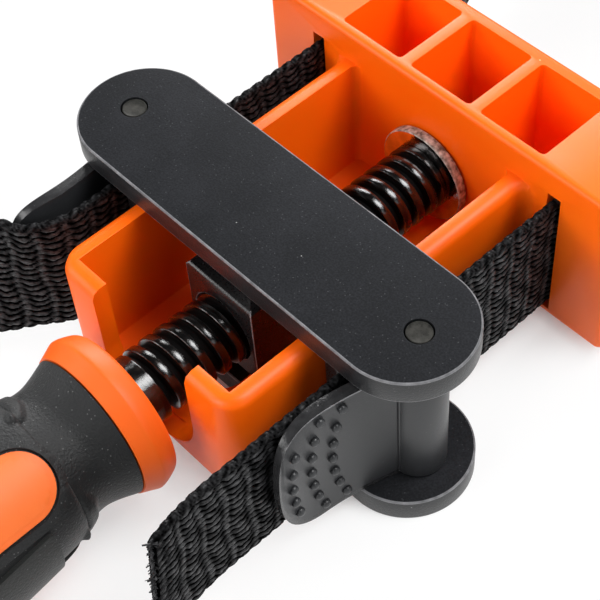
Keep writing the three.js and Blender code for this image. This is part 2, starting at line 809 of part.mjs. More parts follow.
// Webbing on edge along stations: base is its lower edge, lean tips its top to the left of its heading.
function webbing(stations, { base = () => strapBase, lean = () => 0, slant = 0 } = {}) {
  const positions = [];
  const indices = [];
  stations.forEach(({ x, y, heading, run }, i) => {
    const angle = radians(heading);
    const tip = radians(lean(run));
    const cut = i === stations.length - 1 ? slant : 0;
    for (const [side, level] of [[1, -1], [1, 1], [-1, 1], [-1, -1]]) {
      const across = (side * strapThick * Math.cos(tip)) / 2 + (level * strapWidth * Math.sin(tip)) / 2;
      const up = (level * strapWidth * Math.cos(tip)) / 2 - (side * strapThick * Math.sin(tip)) / 2;
      const along = (-level * cut) / 2;
      positions.push(
        x - across * Math.sin(angle) + along * Math.cos(angle),
        y + across * Math.cos(angle) + along * Math.sin(angle),
        base(run) + strapWidth / 2 + up,
      );
    }
  });
  const quad = (a, b, c, d) => indices.push(a, b, c, a, c, d);
  for (let i = 0; i < stations.length - 1; i++)
    for (let corner = 0; corner < 4; corner++) {
      const next = (corner + 1) % 4;
      quad(4 * i + corner, 4 * i + next, 4 * i + 4 + next, 4 * i + 4 + corner);
    }
  const end = 4 * (stations.length - 1);
  quad(0, 3, 2, 1);
  quad(end, end + 1, end + 2, end + 3);
  const geometry = new THREE.BufferGeometry();
  geometry.setAttribute("position", new THREE.Float32BufferAttribute(positions, 3));
  geometry.setIndex(indices);
  return geometry;
}

function rightStrap() {
  const bend = THREE.MathUtils.radToDeg((cutEndAt - endBendAt) / endBendRadius);
  const path = route(strapFront, -strapOffset, 180).go(strapFront + endBendAt).turn(endBendRadius, bend);
  return webbing(path.stations, { slant: cutSlant });
}

function loopStrap() {
  const rise = loopFlareRadius * (1 - Math.cos(radians(loopFlareAngle)));
  const radius = (strapOffset + rise) / Math.cos(radians(loopFlareAngle));
  const path = route(strapFront + seatGap, strapOffset, 0)
    .go(loopLeg)
    .turn(loopFlareRadius, loopFlareAngle)
    .turn(radius, -180 - 2 * loopFlareAngle)
    .turn(loopFlareRadius, loopFlareAngle)
    .go(loopLeg);
  return webbing(path.stations);
}

function tailRoute() {
  return route(-tailSplit - seatGap, strapOffset, 180)
    .go(tailBendAt - tailSplit - seatGap)
    .turn(tailBendRadius, -tailAngle)
    .go(tailRun, 14);
}

function tailStrap() {
  const path = tailRoute();
  const total = path.stations[path.stations.length - 1].run;
  const free = total - tailRun;
  const { smoothstep } = THREE.MathUtils;
  const settled = free + 3 * tailLeanLength;
  const base = (run) => strapBase * (1 - smoothstep(run, settled, total - tailLeanLength / 2));
  const tipped = (run) => smoothstep(run, free - tailLeanLength / 3, free + tailLeanLength);
  const righted = (run) => 1 - smoothstep(run, settled, total - tailLeanLength);
  return webbing(path.stations, { base, lean: (run) => -tailLean * tipped(run) * righted(run) });
}

// The spare strap, wound inwards on its edge from the end of the tail.
function rollStations() {
  const from = tailRoute().go(seatGap).go(strapThick).stations;
  const start = from[from.length - 1];
  const inward = radians(start.heading - 90);
  const centreX = start.x + rollRadius * Math.cos(inward);
  const centreY = start.y + rollRadius * Math.sin(inward);
  const stations = [from[from.length - 2]];
  for (let i = 0; i <= rollTurns * rollSteps; i++) {
    const turn = (360 * i) / rollSteps;
    const angle = inward + Math.PI - radians(turn);
    const radius = rollRadius - (rollPitch * i) / rollSteps;
    const x = centreX + radius * Math.cos(angle);
    const y = centreY + radius * Math.sin(angle);
    stations.push({ x, y, heading: start.heading - turn, run: 0 });
  }
  return stations;
}

// The least distance between points on the two faces of neighbouring turns.
function leastRollGap(stations) {
  const face = (side) => {
    const line = stations.map(({ x, y, heading }) => {
      const angle = radians(heading);
      const across = (side * strapThick) / 2;
      return new THREE.Vector2(x - across * Math.sin(angle), y + across * Math.cos(angle));
    });
    return line.flatMap((point, i) =>
      i === 0 ? [point] : [1 / 4, 1 / 2, 3 / 4, 1].map((share) => line[i - 1].clone().lerp(point, share)),
    );
  };
  const outer = face(1);
  const inner = face(-1);
  let least = Infinity;
  for (let i = 0; i < inner.length; i++)
    for (let j = i + 2 * rollSteps; j < outer.length; j++)
      least = Math.min(least, inner[i].distanceTo(outer[j]));
  return least;
}

const clamp = new THREE.Group();

const fixed = new THREE.Group();
fixed.add(piece("frame", frameSolid(), orangePlastic));
const thrustWasher = piece("thrust_washer", turned([
  [0, boreRadius],
  [0, thrustRadius - thrustRound],
  [thrustRound, thrustRadius],
  [thrustThick - thrustRound, thrustRadius],
  [thrustThick, thrustRadius - thrustRound],
  [thrustThick, boreRadius],
  [0, boreRadius],
], 28), brightSteel);
thrustWasher.position.set(thrustAt, 0, screwHeight);
const innerRing = ring(0, innerWasherThick, boreRadius, innerWasherRadius);
const innerWasher = piece("inner_washer", innerRing, greySteel);
innerWasher.position.set(innerWasherAt, 0, screwHeight);
fixed.add(thrustWasher, innerWasher);

const screw = new THREE.Group();
screw.position.z = screwHeight;
const pinHalf = coreRadius - crossPinShort;
const crossPin = piece("handle_cross_pin", pillar(0, 0, -pinHalf, pinHalf, crossPinRadius, 12), greySteel);
crossPin.position.x = collarFace - crossPinAt;
const clip = piece("retaining_clip", alongX(clipShape(), 0, clipThick, 12), greySteel);
clip.position.x = clipAt;
screw.add(
  piece("lead_screw", screwSolid(), oiledSteel),
  piece("handle_core", handleCoreSolid(), orangePlastic),
  piece("handle_grip", gripSolid(), rubber),
  piece("handle_end_cap", endCapGeometry(), orangePlastic),
  crossPin,
  clip,
);

const traveller = new THREE.Group();
traveller.add(
  piece("bottom_plate", plateSolid(0, plateThick, plateThick, 0), blackPlastic),
  piece("top_plate", plateSolid(plateTopBase, clampTop, plateTopBase, clampTop), blackPlastic),
  piece("nut_block", nutBlockSolid(), blackNylon),
);

// The two sides are mirror images, but for how far each lever stands open.
for (const [name, mirror, restAngle] of [["left", 1, leftRestAngle], ["right", -1, 0]]) {
  const side = new THREE.Group();
  side.scale.y = mirror;
  const lever = piece("cam_lever_" + name, leverSolid(), blackNylon);
  lever.position.set(0, pinOffset, leverBase);
  lever.rotation.z = -radians(restAngle);
  const pin = piece("pivot_pin_" + name, upright(0, 0, pinProfile()), greySteel);
  pin.position.y = pinOffset;
  side.add(piece("anvil_" + name, anvilSolid(), blackNylon), pin, lever);
  traveller.add(side);
}

const leftPath = route(strapFront, strapOffset, 180).go(strapFront + tailSplit);
const roll = rollStations();
const strap = new THREE.Group();
strap.add(
  piece("strap_right", rightStrap(), webbingFabric),
  piece("strap_loop", loopStrap(), webbingFabric),
  piece("strap_left", webbing(leftPath.stations), webbingFabric),
  piece("strap_tail", tailStrap(), webbingFabric),
  piece("strap_roll", webbing(roll, { base: () => 0 }), webbingFabric),
);
traveller.add(strap);
console.log("least gap between the roll's turns: " + leastRollGap(roll).toFixed(2) + " mm");

clamp.add(fixed, screw, traveller);
export default clamp;
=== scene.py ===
# Looks of the band clamp: its mouldings, screw, handle, levers and webbing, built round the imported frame.
# Shapes are made in millimetres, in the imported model's own frame, and scaled when a piece is finished.
import math
import random

import bmesh
import bpy
from mathutils import Matrix, Vector


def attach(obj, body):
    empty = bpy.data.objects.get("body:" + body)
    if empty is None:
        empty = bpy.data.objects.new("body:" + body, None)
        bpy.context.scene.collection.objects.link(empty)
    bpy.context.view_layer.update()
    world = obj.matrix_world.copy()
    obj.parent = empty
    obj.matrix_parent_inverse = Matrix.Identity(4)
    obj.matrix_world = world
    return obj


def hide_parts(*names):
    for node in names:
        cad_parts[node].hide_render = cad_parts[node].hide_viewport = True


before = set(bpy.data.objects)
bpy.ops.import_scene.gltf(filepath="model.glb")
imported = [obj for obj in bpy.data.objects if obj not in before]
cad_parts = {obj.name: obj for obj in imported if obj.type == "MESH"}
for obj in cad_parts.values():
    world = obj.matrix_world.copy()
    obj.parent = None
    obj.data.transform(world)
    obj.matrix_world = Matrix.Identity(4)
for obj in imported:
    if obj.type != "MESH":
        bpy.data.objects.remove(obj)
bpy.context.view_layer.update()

MM = 0.001
FULL_TURN = 2 * math.pi

SCREW_HEIGHT = 18.4
PLATE_THICK = 4.5
PLATE_TOP_BASE = 31.7
PLATE_RADIUS = 10.76
PLATE_ARC_OFFSET = 28.73
PLATE_STEPS = 120
PIN_OFFSET = 31.3
PIN_HOLE = 2.22
CLAMP_TOP = 36.2

LEVER_BASE = 4.8
LEVER_HEIGHT = 26.6
BARREL_RADIUS = 4.5
BARREL_BORE = 2.2
TAB_REACH = 26.3
TAB_FACE = [(-2.63, 1.1), (-13.94, -2.6), (-19.99, -3.4), (-26.3, -1.5)]
TAB_THICK = 2.0
TAB_TIP_THICK = 1.3
TAB_CORNER = 9.0
TAB_WAIST = 14.63
DOT_COLUMNS = (5, 7, 7)
DOT_RISE = 3.65
DOT_STEP = 3.85
DOT_MARGIN = 3.2
DOT_ARC = 30
DOT_SIZE = (0.8, 0.62, 0.8, 1)
GRIP_RIBS = (-3.6, -4.5)
LEFT_REST_ANGLE = 7

THREAD_START = -30.3
THREAD_END = 32.55
THREAD_PITCH = 3.0
THREAD_RADIUS = 6.0
THREAD_ROOT = 4.75
THREAD_RUN_IN = 4.9
THREAD_BLANK = THREAD_RADIUS - 0.08
THREAD_FADE_IN = (-27.2, -25.9)
THREAD_FADE_OUT = (31.2, 32.0)
THREAD_TURN = 70

COLLAR_FACE = -31.0
COLLAR_BACK = -37.05
COLLAR_COLOUR_END = -37.2
GRIP_FRONT = -37.3
GRIP_BACK = -118
GRIP_BORE = 9.6
GRIP_FINE_BACK = COLLAR_FACE - 20
GRIP_FINE_RUN = 13.7
GRIP_FINE_STEPS = 64
CAP_END = -126.3
CAP_SEAT = -121
CAP_DOME_START = -121.3
CAP_DOME_RADIUS = 5
CAP_DOME_CENTRE = 7.6
PAD_STEPS = 48
GRIP_KNOTS = [(87, 12.6), (54, 15), (20.5, 12.7), (15.9, 11.2), (11.3, 10.6), (6.3, 12.1)]
KNOB_BACK = 14.9
KNOB_HALF = 1.6
KNOB_RISE = 0.85
KNOB_TAPER_IN = (-32, -8)
KNOB_TAPER_OUT = (19, 22)
INLAY_ANGLES = (36, 156, 276)
LAND_ANGLES = (96, 216, 336)

STRAP_WIDTH = 25.0
STRAP_BASE = 5.6
STRAP_OFFSET = 25.7
STRAP_FRONT = 54.3
WEAVE_PITCH = 4.5
YARN_PITCH = 1.33
WEAVE_WAVE = 0.33
YARN_HALF = 0.42
YARN_GAP = 0.05
YARN_RISE = 0.42
YARN_PEAK = 0.25
YARN_LOW = 0.52
YARN_SWELL = 0.36
YARN_TILT = 0.12
WEB_HALF = 0.6
WEB_MAP = 100.0
SELVEDGE = (11.2, 11.7)
CUT_END_RUN = 34
CUT_END_LENGTH = 13.8
CUT_END_RADIUS = 50
FLARE_RADIUS = 16
FLARE_ANGLE = 40
LOOP_RUN = 9.15
TAIL_RUN = 16.5
TAIL_RADIUS = 13
TAIL_ANGLE = 50
TAIL_LENGTH = 73
ROLL_RADIUS = 50.0
ROLL_PITCH = 2.1
ROLL_TURNS = 17

CAMERA_LENS = 93.99
CAMERA_TURN = (37.751, 3.0467, -43.0827)
CAMERA_PLACE = (-0.093805, -0.120962, 0.211248)

HORIZON_LIGHT = 0.95
OVERHEAD_LIGHT = 0.05
FILL_LIGHT = 0.08
FLOOR_GLOW = 0.85
LAMP_DISTANCE = 0.7
LAMP_SIZE = 0.35
# Each lamp's name, degrees round the clamp, degrees above the floor, and watts
LAMPS = [
    ("key_softbox", 45, 30, 4.4),
    ("high_softbox", 315, 60, 4.4),
    ("left_softbox", 135, 30, 2.0),
    ("back_softbox", 180, 30, 2.5),
    ("front_softbox", 270, 30, 0.4),
    ("end_softbox", 0, 30, 0.3),
]


# Camera, floor and light

camera = bpy.data.objects.new("camera", bpy.data.cameras.new("camera"))
bpy.context.scene.collection.objects.link(camera)
bpy.context.scene.camera = camera
camera.data.lens = CAMERA_LENS
camera.data.sensor_width = 36
camera.data.clip_start = 0.01
camera.data.clip_end = 10
camera.rotation_euler = [math.radians(angle) for angle in CAMERA_TURN]
camera.location = CAMERA_PLACE


def lamp(name, around, height, energy):
    """A square softbox at these angles round the clamp and above the floor, aimed at it."""
    light = bpy.data.lights.new(name, "AREA")
    light.shape = "RECTANGLE"
    light.size = light.size_y = LAMP_SIZE
    light.energy = energy
    holder = bpy.data.objects.new(name, light)
    bpy.context.scene.collection.objects.link(holder)
    turn, rise = math.radians(around), math.radians(height)
    toward = Vector((math.cos(turn) * math.cos(rise), math.sin(turn) * math.cos(rise), math.sin(rise)))
    aimed = (-toward).to_track_quat("-Z", "Y").to_matrix().to_4x4()
    holder.matrix_world = Matrix.Translation(Vector((0, 0, 0.02)) + toward * LAMP_DISTANCE) @ aimed


for softbox in LAMPS:
    lamp(*softbox)


def node(tree, kind, inputs=None, **settings):
    """A shader node, with its inputs linked to a socket or set to a value."""
    made = tree.nodes.new("ShaderNode" + kind)
    for name, value in settings.items():
        setattr(made, name, value)
    for socket, value in (inputs or {}).items():
        if isinstance(value, bpy.types.NodeSocket):
            tree.links.new(value, made.inputs[socket])
        else:
            made.inputs[socket].default_value = value
    return made


def math_of(tree, operation, first, second=0.0, clamp=False):
    return node(tree, "Math", {0: first, 1: second}, operation=operation, use_clamp=clamp).outputs[0]


def remap(tree, value, low, high, to_low=0.0, to_high=1.0):
    inputs = {"Value": value, "From Min": low, "From Max": high, "To Min": to_low, "To Max": to_high}
    return node(tree, "MapRange", inputs).outputs["Result"]


def blend_colour(tree, factor, first, second):
    inputs = {"Factor": factor, 6: first, 7: second}
    return node(tree, "Mix", inputs, data_type="RGBA").outputs[2]


world = bpy.data.worlds.new("studio")
bpy.context.scene.world = world
world.use_nodes = True
studio = world.node_tree
studio.nodes.clear()
direction = node(studio, "SeparateXYZ", {"Vector": node(studio, "TexCoord").outputs["Generated"]})
height = remap(studio, direction.outputs[2], 0.12, 0.5)
backdrop = remap(studio, height, 0.0, 1.0, HORIZON_LIGHT, OVERHEAD_LIGHT)
path = node(studio, "LightPath").outputs
seen = math_of(studio, "MAXIMUM", path["Is Glossy Ray"], path["Is Transmission Ray"])
strength = node(studio, "Mix", {"Factor": seen, "A": FILL_LIGHT, "B": backdrop})
strength = node(studio, "Mix", {"Factor": path["Is Camera Ray"], "A": strength.outputs[0], "B": 1.0})
ambient = node(studio, "Background", {"Color": (1, 1, 1, 1), "Strength": strength.outputs[0]})
node(studio, "OutputWorld", {"Surface": ambient.outputs[0]})

floor_bm = bmesh.new()
bmesh.ops.create_grid(floor_bm, x_segments=1, y_segments=1, size=3)
floor_mesh = bpy.data.meshes.new("floor")
floor_bm.to_mesh(floor_mesh)
floor_bm.free()
floor = bpy.data.objects.new("floor", floor_mesh)
bpy.context.scene.collection.objects.link(floor)
paper = bpy.data.materials.new("white_paper")
paper.use_nodes = True
table = paper.node_tree
matt = table.nodes["Principled BSDF"]
matt.inputs["Base Color"].default_value = (0.93, 0.93, 0.93, 1)
matt.inputs["Roughness"].default_value = 0.9
matt.inputs["Specular IOR Level"].default_value = 0.1
floor_mesh.materials.append(paper)
path = node(table, "LightPath").outputs
seen = math_of(table, "MAXIMUM", path["Is Camera Ray"], path["Is Glossy Ray"])
seen = math_of(table, "MAXIMUM", seen, path["Is Transmission Ray"])
# The floor's glow fades where ambient occlusion is low: a painted contact shadow under and beside the clamp.
open_share = node(table, "AmbientOcclusion", {"Distance": 0.02}).outputs["AO"]
seen = math_of(table, "MULTIPLY", seen, remap(table, open_share, 0.08, 0.5))
glow = node(table, "Emission", {"Color": (1, 1, 1, 1), "Strength": 1.0})
glow_share = math_of(table, "MULTIPLY", seen, FLOOR_GLOW)
lit = node(table, "MixShader", {0: glow_share, 1: matt.outputs[0], 2: glow.outputs[0]})
table.links.new(lit.outputs[0], table.nodes["Material Output"].inputs["Surface"])


# Shared effects

def effect(name, inputs, outputs):
    """A node group of plain numbers, with its own inputs and outputs."""
    group = bpy.data.node_groups.new(name, "ShaderNodeTree")
    for label, value in inputs.items():
        socket = group.interface.new_socket(label, in_out="INPUT", socket_type="NodeSocketFloat")
        socket.default_value = value
    for label in outputs:
        group.interface.new_socket(label, in_out="OUTPUT", socket_type="NodeSocketFloat")
    return group, group.nodes.new("NodeGroupInput").outputs, group.nodes.new("NodeGroupOutput").inputs


def object_place(tree):
    return node(tree, "TexCoord").outputs["Object"]


grain, grain_in, grain_out = effect(
    "moulded_grain", {"Scale": 2500.0, "Patch Scale": 60.0}, ["Height", "Patches"]
)
place = object_place(grain)
fine = node(grain, "TexNoise", {"Vector": place, "Scale": grain_in["Scale"], "Detail": 3.0})
patches = node(grain, "TexNoise", {"Vector": place, "Scale": grain_in["Patch Scale"], "Detail": 4.0})
grain.links.new(fine.outputs["Fac"], grain_out["Height"])
grain.links.new(patches.outputs["Fac"], grain_out["Patches"])

dust, dust_in, dust_out = effect("dust_specks", {"Scale": 500.0, "Size": 0.09, "Share": 0.25}, ["Mask"])
cells = node(dust, "TexVoronoi", {"Vector": object_place(dust), "Scale": dust_in["Scale"]})
chosen = node(dust, "SeparateColor", {"Color": cells.outputs["Color"]})
is_speck = math_of(dust, "LESS_THAN", cells.outputs["Distance"], dust_in["Size"])
is_chosen = math_of(dust, "LESS_THAN", chosen.outputs[0], dust_in["Share"])
dust.links.new(math_of(dust, "MULTIPLY", is_speck, is_chosen), dust_out["Mask"])

# Rim faces are painted paler where the noise allows: edge wear, and a painted highlight on the rounded edge.
edge_wear_and_highlight, edge_wear_and_highlight_in, edge_wear_and_highlight_out = effect("rim_wear_and_highlight", {"Scale": 900.0, "Least": 0.35}, ["Mask"])
rim = node(edge_wear_and_highlight, "Attribute", attribute_name="rim")
rim_breakup = node(edge_wear_and_highlight, "TexNoise", {"Vector": object_place(edge_wear_and_highlight), "Scale": edge_wear_and_highlight_in["Scale"], "Detail": 3.0})
patchy = remap(edge_wear_and_highlight, rim_breakup.outputs["Fac"], edge_wear_and_highlight_in["Least"], 0.72)
edge_wear_and_highlight.links.new(math_of(edge_wear_and_highlight, "MULTIPLY", rim.outputs["Fac"], patchy), edge_wear_and_highlight_out["Mask"])


weave, weave_in, weave_out = effect("webbing_weave", {"Along": 0.0, "Across": 0.0}, ["Height", "Row"])
phase = math_of(weave, "MULTIPLY", weave_in["Along"], FULL_TURN / WEAVE_PITCH)
wave = math_of(weave, "COSINE", phase)
double_wave = math_of(weave, "COSINE", math_of(weave, "MULTIPLY", phase, 2.0))
swing = math_of(weave, "SUBTRACT", wave, math_of(weave, "MULTIPLY", double_wave, YARN_PEAK))
row = math_of(weave, "DIVIDE", weave_in["Across"], YARN_PITCH)
row = math_of(weave, "ADD", row, math_of(weave, "MULTIPLY", swing, WEAVE_WAVE))
half = math_of(weave, "SUBTRACT", YARN_HALF, math_of(weave, "MULTIPLY", swing, YARN_GAP))
side = math_of(weave, "ABSOLUTE", math_of(weave, "SUBTRACT", math_of(weave, "FRACT", row), 0.5))
reach = math_of(weave, "POWER", math_of(weave, "DIVIDE", side, half), 3.0)
round_yarn = math_of(weave, "SQRT", math_of(weave, "SUBTRACT", 1.0, reach, clamp=True))
swell = math_of(weave, "MULTIPLY", math_of(weave, "MULTIPLY", swing, swing), YARN_SWELL)
lift = math_of(weave, "ADD", swell, YARN_LOW)
lift = math_of(weave, "ADD", lift, math_of(weave, "MULTIPLY", swing, YARN_TILT))
weave.links.new(math_of(weave, "MULTIPLY", round_yarn, lift), weave_out["Height"])
weave.links.new(row, weave_out["Row"])


def use(tree, group, **values):
    made = tree.nodes.new("ShaderNodeGroup")
    made.node_tree = group
    for label, value in values.items():
        made.inputs[label.replace("_", " ")].default_value = value
    return made.outputs


def material(name, **sockets):
    made = bpy.data.materials.new(name)
    made.use_nodes = True
    shader = made.node_tree.nodes["Principled BSDF"]
    for label, value in sockets.items():
        shader.inputs[label.replace("_", " ")].default_value = value
    return made, made.node_tree, shader.inputs


def bump(tree, sockets, height, distance, strength=1.0):
    made = node(tree, "Bump", {"Height": height, "Distance": distance, "Strength": strength})
    tree.links.new(made.outputs[0], sockets["Normal"])


def rgb(r, g, b):
    """A colour as it looks on screen, from 0 to 255, as the linear values that a shader takes."""
    return tuple(((c / 255 + 0.055) / 1.055) ** 2.4 if c > 10 else c / 255 / 12.92 for c in (r, g, b)) + (1,)


def orange_plastic(name, main, patch, roughness):
    made, tree, sockets = material(name, Specular_IOR_Level=0.3, Subsurface_Weight=0.12, Subsurface_Scale=0.002)
    sockets["Subsurface Radius"].default_value = (1.0, 0.25, 0.05)
    surface = use(tree, grain, Scale=1800.0, Patch_Scale=45.0)
    specks = use(tree, dust, Scale=330.0, Size=0.05, Share=0.1)
    colour = blend_colour(tree, remap(tree, surface["Patches"], 0.3, 0.7), main, patch)
    colour = blend_colour(tree, specks["Mask"], colour, rgb(255, 196, 150))
    tree.links.new(colour, sockets["Base Color"])
    matt = remap(tree, surface["Patches"], 0.3, 0.7, roughness - 0.05, roughness + 0.06)
    tree.links.new(matt, sockets["Roughness"])
    bump(tree, sockets, surface["Height"], 0.00002, 0.5)
    return made


def black_plastic(name, main, patch, roughness, gloss, dusty, grain_depth, rim_share=0.75):
    made, tree, sockets = material(name, Specular_IOR_Level=gloss)
    surface = use(tree, grain, Scale=3200.0, Patch_Scale=70.0)
    specks = use(tree, dust, Scale=420.0, Size=0.04, Share=dusty * 0.3)
    fine_specks = use(tree, dust, Scale=1700.0, Size=0.16, Share=dusty)
    mottle = math_of(tree, "MULTIPLY", surface["Height"], 0.6)
    mottle = math_of(tree, "ADD", mottle, math_of(tree, "MULTIPLY", surface["Patches"], 0.4))
    rims = use(tree, edge_wear_and_highlight, Scale=700.0, Least=-0.1)
    colour = blend_colour(tree, remap(tree, mottle, 0.4, 0.6), main, patch)
    colour = blend_colour(tree, math_of(tree, "MULTIPLY", fine_specks["Mask"], 0.5), colour, rgb(84, 84, 86))
    colour = blend_colour(tree, specks["Mask"], colour, rgb(150, 150, 150))
    # Rims are painted paler: edge wear, and a painted highlight along the rounded edges.
    colour = blend_colour(tree, math_of(tree, "MULTIPLY", rims["Mask"], rim_share), colour, rgb(150, 150, 153))
    tree.links.new(colour, sockets["Base Color"])
    matt = remap(tree, surface["Height"], 0.3, 0.7, roughness - 0.05, roughness + 0.05)
    tree.links.new(matt, sockets["Roughness"])
    bump(tree, sockets, surface["Height"], grain_depth)
    return made


def steel(name, dark, pale, roughness, scale, metallic, gloss=0.5):
    made, tree, sockets = material(name, Metallic=metallic, Specular_IOR_Level=gloss)
    surface = use(tree, grain, Scale=scale, Patch_Scale=scale / 4)
    colour = blend_colour(tree, remap(tree, surface["Patches"], 0.35, 0.65), dark, pale)
    tree.links.new(colour, sockets["Base Color"])
    matt = remap(tree, surface["Height"], 0.3, 0.7, roughness * 0.7, roughness * 1.3)
    tree.links.new(matt, sockets["Roughness"])
    bump(tree, sockets, surface["Height"], 0.00003)
    return made


frame_orange = orange_plastic("frame_orange", rgb(255, 99, 2), rgb(255, 106, 3), 0.42)
collar_orange = orange_plastic("collar_orange", rgb(233, 93, 20), rgb(242, 102, 28), 0.45)
inlay_orange = orange_plastic("inlay_orange", rgb(247, 108, 40), rgb(250, 118, 54), 0.45)
plate_black = black_plastic(
    "plate_black", rgb(28, 29, 31), rgb(39, 40, 43), 0.6, gloss=0.04, dusty=0.3, grain_depth=0.00004
)
plate_side = black_plastic(
    "plate_side", rgb(24, 25, 27), rgb(34, 35, 37), 0.36, gloss=0.55, dusty=0.5, grain_depth=0.00005
)
lever_grey = black_plastic(
    "lever_grey", rgb(40, 41, 43), rgb(46, 47, 49), 0.36,
    gloss=0.5, dusty=0.05, grain_depth=0.00001, rim_share=0.0,
)
lever_rim = black_plastic(
    "lever_rim", rgb(10, 10, 11), rgb(15, 15, 16), 0.2, gloss=0.4, dusty=0.5, grain_depth=0.00003, rim_share=0.8
)
nut_black = black_plastic(
    "nut_black", rgb(14, 13, 14), rgb(22, 21, 22), 0.3, gloss=0.5, dusty=0.1, grain_depth=0.00003, rim_share=0.9
)
rivet_steel = steel(
    "rivet_steel", rgb(32, 32, 30), rgb(58, 57, 54), 0.45, scale=2600.0, metallic=0.3, gloss=0.05
)
washer_steel = steel("washer_steel", rgb(176, 170, 168), rgb(205, 200, 198), 0.1, scale=1800.0, metallic=1.0)
scuffed_steel = steel("scuffed_steel", rgb(96, 88, 80), rgb(214, 206, 196), 0.4, scale=4200.0, metallic=0.2)


def oiled_steel():
    """Turned steel, glossy with oil on the crests; the grooves are painted near black and get no coat, a
    painted shade along with the grease in them.
    """
    made, tree, sockets = material("oiled_steel", Specular_IOR_Level=0.1, Coat_IOR=1.7, Coat_Roughness=0.07)
    place = object_place(tree)
    point = node(tree, "SeparateXYZ", {"Vector": place})
    level = math_of(tree, "SUBTRACT", point.outputs[2], SCREW_HEIGHT * MM)
    out = node(tree, "CombineXYZ", {0: point.outputs[1], 1: level})
    radius = node(tree, "VectorMath", {0: out.outputs[0]}, operation="LENGTH").outputs["Value"]
    crest = remap(tree, radius, (THREAD_ROOT + 0.35) * MM, (THREAD_RADIUS - 0.2) * MM)
    drawn = node(tree, "Mapping", {"Vector": place, "Scale": (4.0, 1.0, 1.0)})
    streaks = node(
        tree, "TexNoise", {"Vector": drawn.outputs[0], "Scale": 1500.0, "Detail": 4.0, "Roughness": 0.65}
    )
    film = node(tree, "TexNoise", {"Vector": place, "Scale": 900.0, "Detail": 4.0})
    steel_tone = blend_colour(tree, remap(tree, film.outputs["Fac"], 0.5, 0.75), rgb(7, 6, 6), rgb(30, 25, 22))
    # The groove colour against the crests' tone is painted shade in the grooves, together with grease.
    tree.links.new(blend_colour(tree, crest, rgb(5, 4, 4), steel_tone), sockets["Base Color"])
    tree.links.new(math_of(tree, "MULTIPLY", crest, 0.9), sockets["Coat Weight"])
    patchy = remap(tree, film.outputs["Fac"], 0.3, 0.7, 0.16, 0.36)
    slick = node(tree, "Mix", {"Factor": crest, "A": 0.75, "B": patchy})
    tree.links.new(slick.outputs[0], sockets["Roughness"])
    made_bump = node(tree, "Bump", {"Height": streaks.outputs["Fac"], "Distance": 0.000025})
    tree.links.new(made_bump.outputs[0], sockets["Normal"])
    tree.links.new(made_bump.outputs[0], sockets["Coat Normal"])
    return made


def grip_rubber(name, main, patch, dusty):
    made, tree, sockets = material(name, Specular_IOR_Level=0.35, Sheen_Weight=0.08, Sheen_Roughness=0.5)
    surface = use(tree, grain, Scale=2600.0, Patch_Scale=80.0)
    fine_dust = use(tree, dust, Scale=1600.0, Size=0.16, Share=dusty)
    coarse_dust = use(tree, dust, Scale=360.0, Size=0.045, Share=dusty * 0.3)
    colour = blend_colour(tree, remap(tree, surface["Patches"], 0.3, 0.7), main, patch)
    colour = blend_colour(tree, math_of(tree, "MULTIPLY", fine_dust["Mask"], 0.35), colour, rgb(130, 130, 130))
    colour = blend_colour(tree, coarse_dust["Mask"], colour, rgb(225, 225, 225))
    tree.links.new(colour, sockets["Base Color"])
    tree.links.new(remap(tree, surface["Patches"], 0.3, 0.7, 0.46, 0.6), sockets["Roughness"])
    bump(tree, sockets, surface["Height"], 0.00013)
    return made


screw_steel = oiled_steel()
rubber_black = grip_rubber("rubber_black", rgb(11, 12, 13), rgb(22, 23, 24), dusty=0.45)
rubber_land = grip_rubber("rubber_land", rgb(25, 26, 25), rgb(34, 35, 34), dusty=0.12)


def webbing_material(name, relief, shaped):
    """Woven black yarn, painted near black in the gaps between yarns as a painted shade. A shaped piece takes
    its shade from its own yarns, any other from the woven pattern.
    """
    made, tree, sockets = material(name, Specular_IOR_Level=0.0, Coat_IOR=1.65, Coat_Roughness=0.3)
    sheet = node(tree, "SeparateXYZ", {"Vector": node(tree, "UVMap", uv_map="webbing").outputs[0]})
    along = math_of(tree, "MULTIPLY", sheet.outputs[0], WEB_MAP)
    across = math_of(tree, "MULTIPLY", sheet.outputs[1], WEB_MAP)
    woven = use(tree, weave)
    tree.links.new(along, woven["Height"].node.inputs["Along"])
    tree.links.new(across, woven["Height"].node.inputs["Across"])
    height = node(tree, "Attribute", attribute_name="yarn").outputs["Fac"] if shaped else woven["Height"]
    drawn = math_of(tree, "MULTIPLY", along, 0.8)
    fibre_place = node(tree, "CombineXYZ", {0: drawn, 1: math_of(tree, "MULTIPLY", woven["Row"], 5.3)})
    fibres = node(
        tree, "TexNoise", {"Vector": fibre_place.outputs[0], "Scale": 1.5, "Detail": 3.0, "Distortion": 0.6}
    )
    tone = node(tree, "TexNoise", {"Vector": object_place(tree), "Scale": 1400.0, "Detail": 3.0})
    # Yarn that sinks below its neighbours is painted near black, a painted shade in the gaps; the coat's shine
    # goes only on proud yarn.
    proud = remap(tree, height, 0.2, 0.7)
    tone = remap(tree, tone.outputs["Fac"], 0.35, 0.65)
    yarn_tone = blend_colour(tree, tone, rgb(24, 24, 25), rgb(66, 66, 68))
    tree.links.new(blend_colour(tree, proud, rgb(2, 2, 2), yarn_tone), sockets["Base Color"])
    shine = remap(tree, fibres.outputs["Fac"], 0.38, 0.68, 0.1, 1.0)
    coat = math_of(tree, "MULTIPLY", math_of(tree, "MULTIPLY", proud, proud), shine)
    tree.links.new(coat, sockets["Coat Weight"])
    sockets["Roughness"].default_value = 0.6
    texture = math_of(tree, "MULTIPLY", fibres.outputs["Fac"], 0.6)
    if not shaped:
        texture = math_of(tree, "ADD", height, texture)
    bump(tree, sockets, texture, relief)
    return made


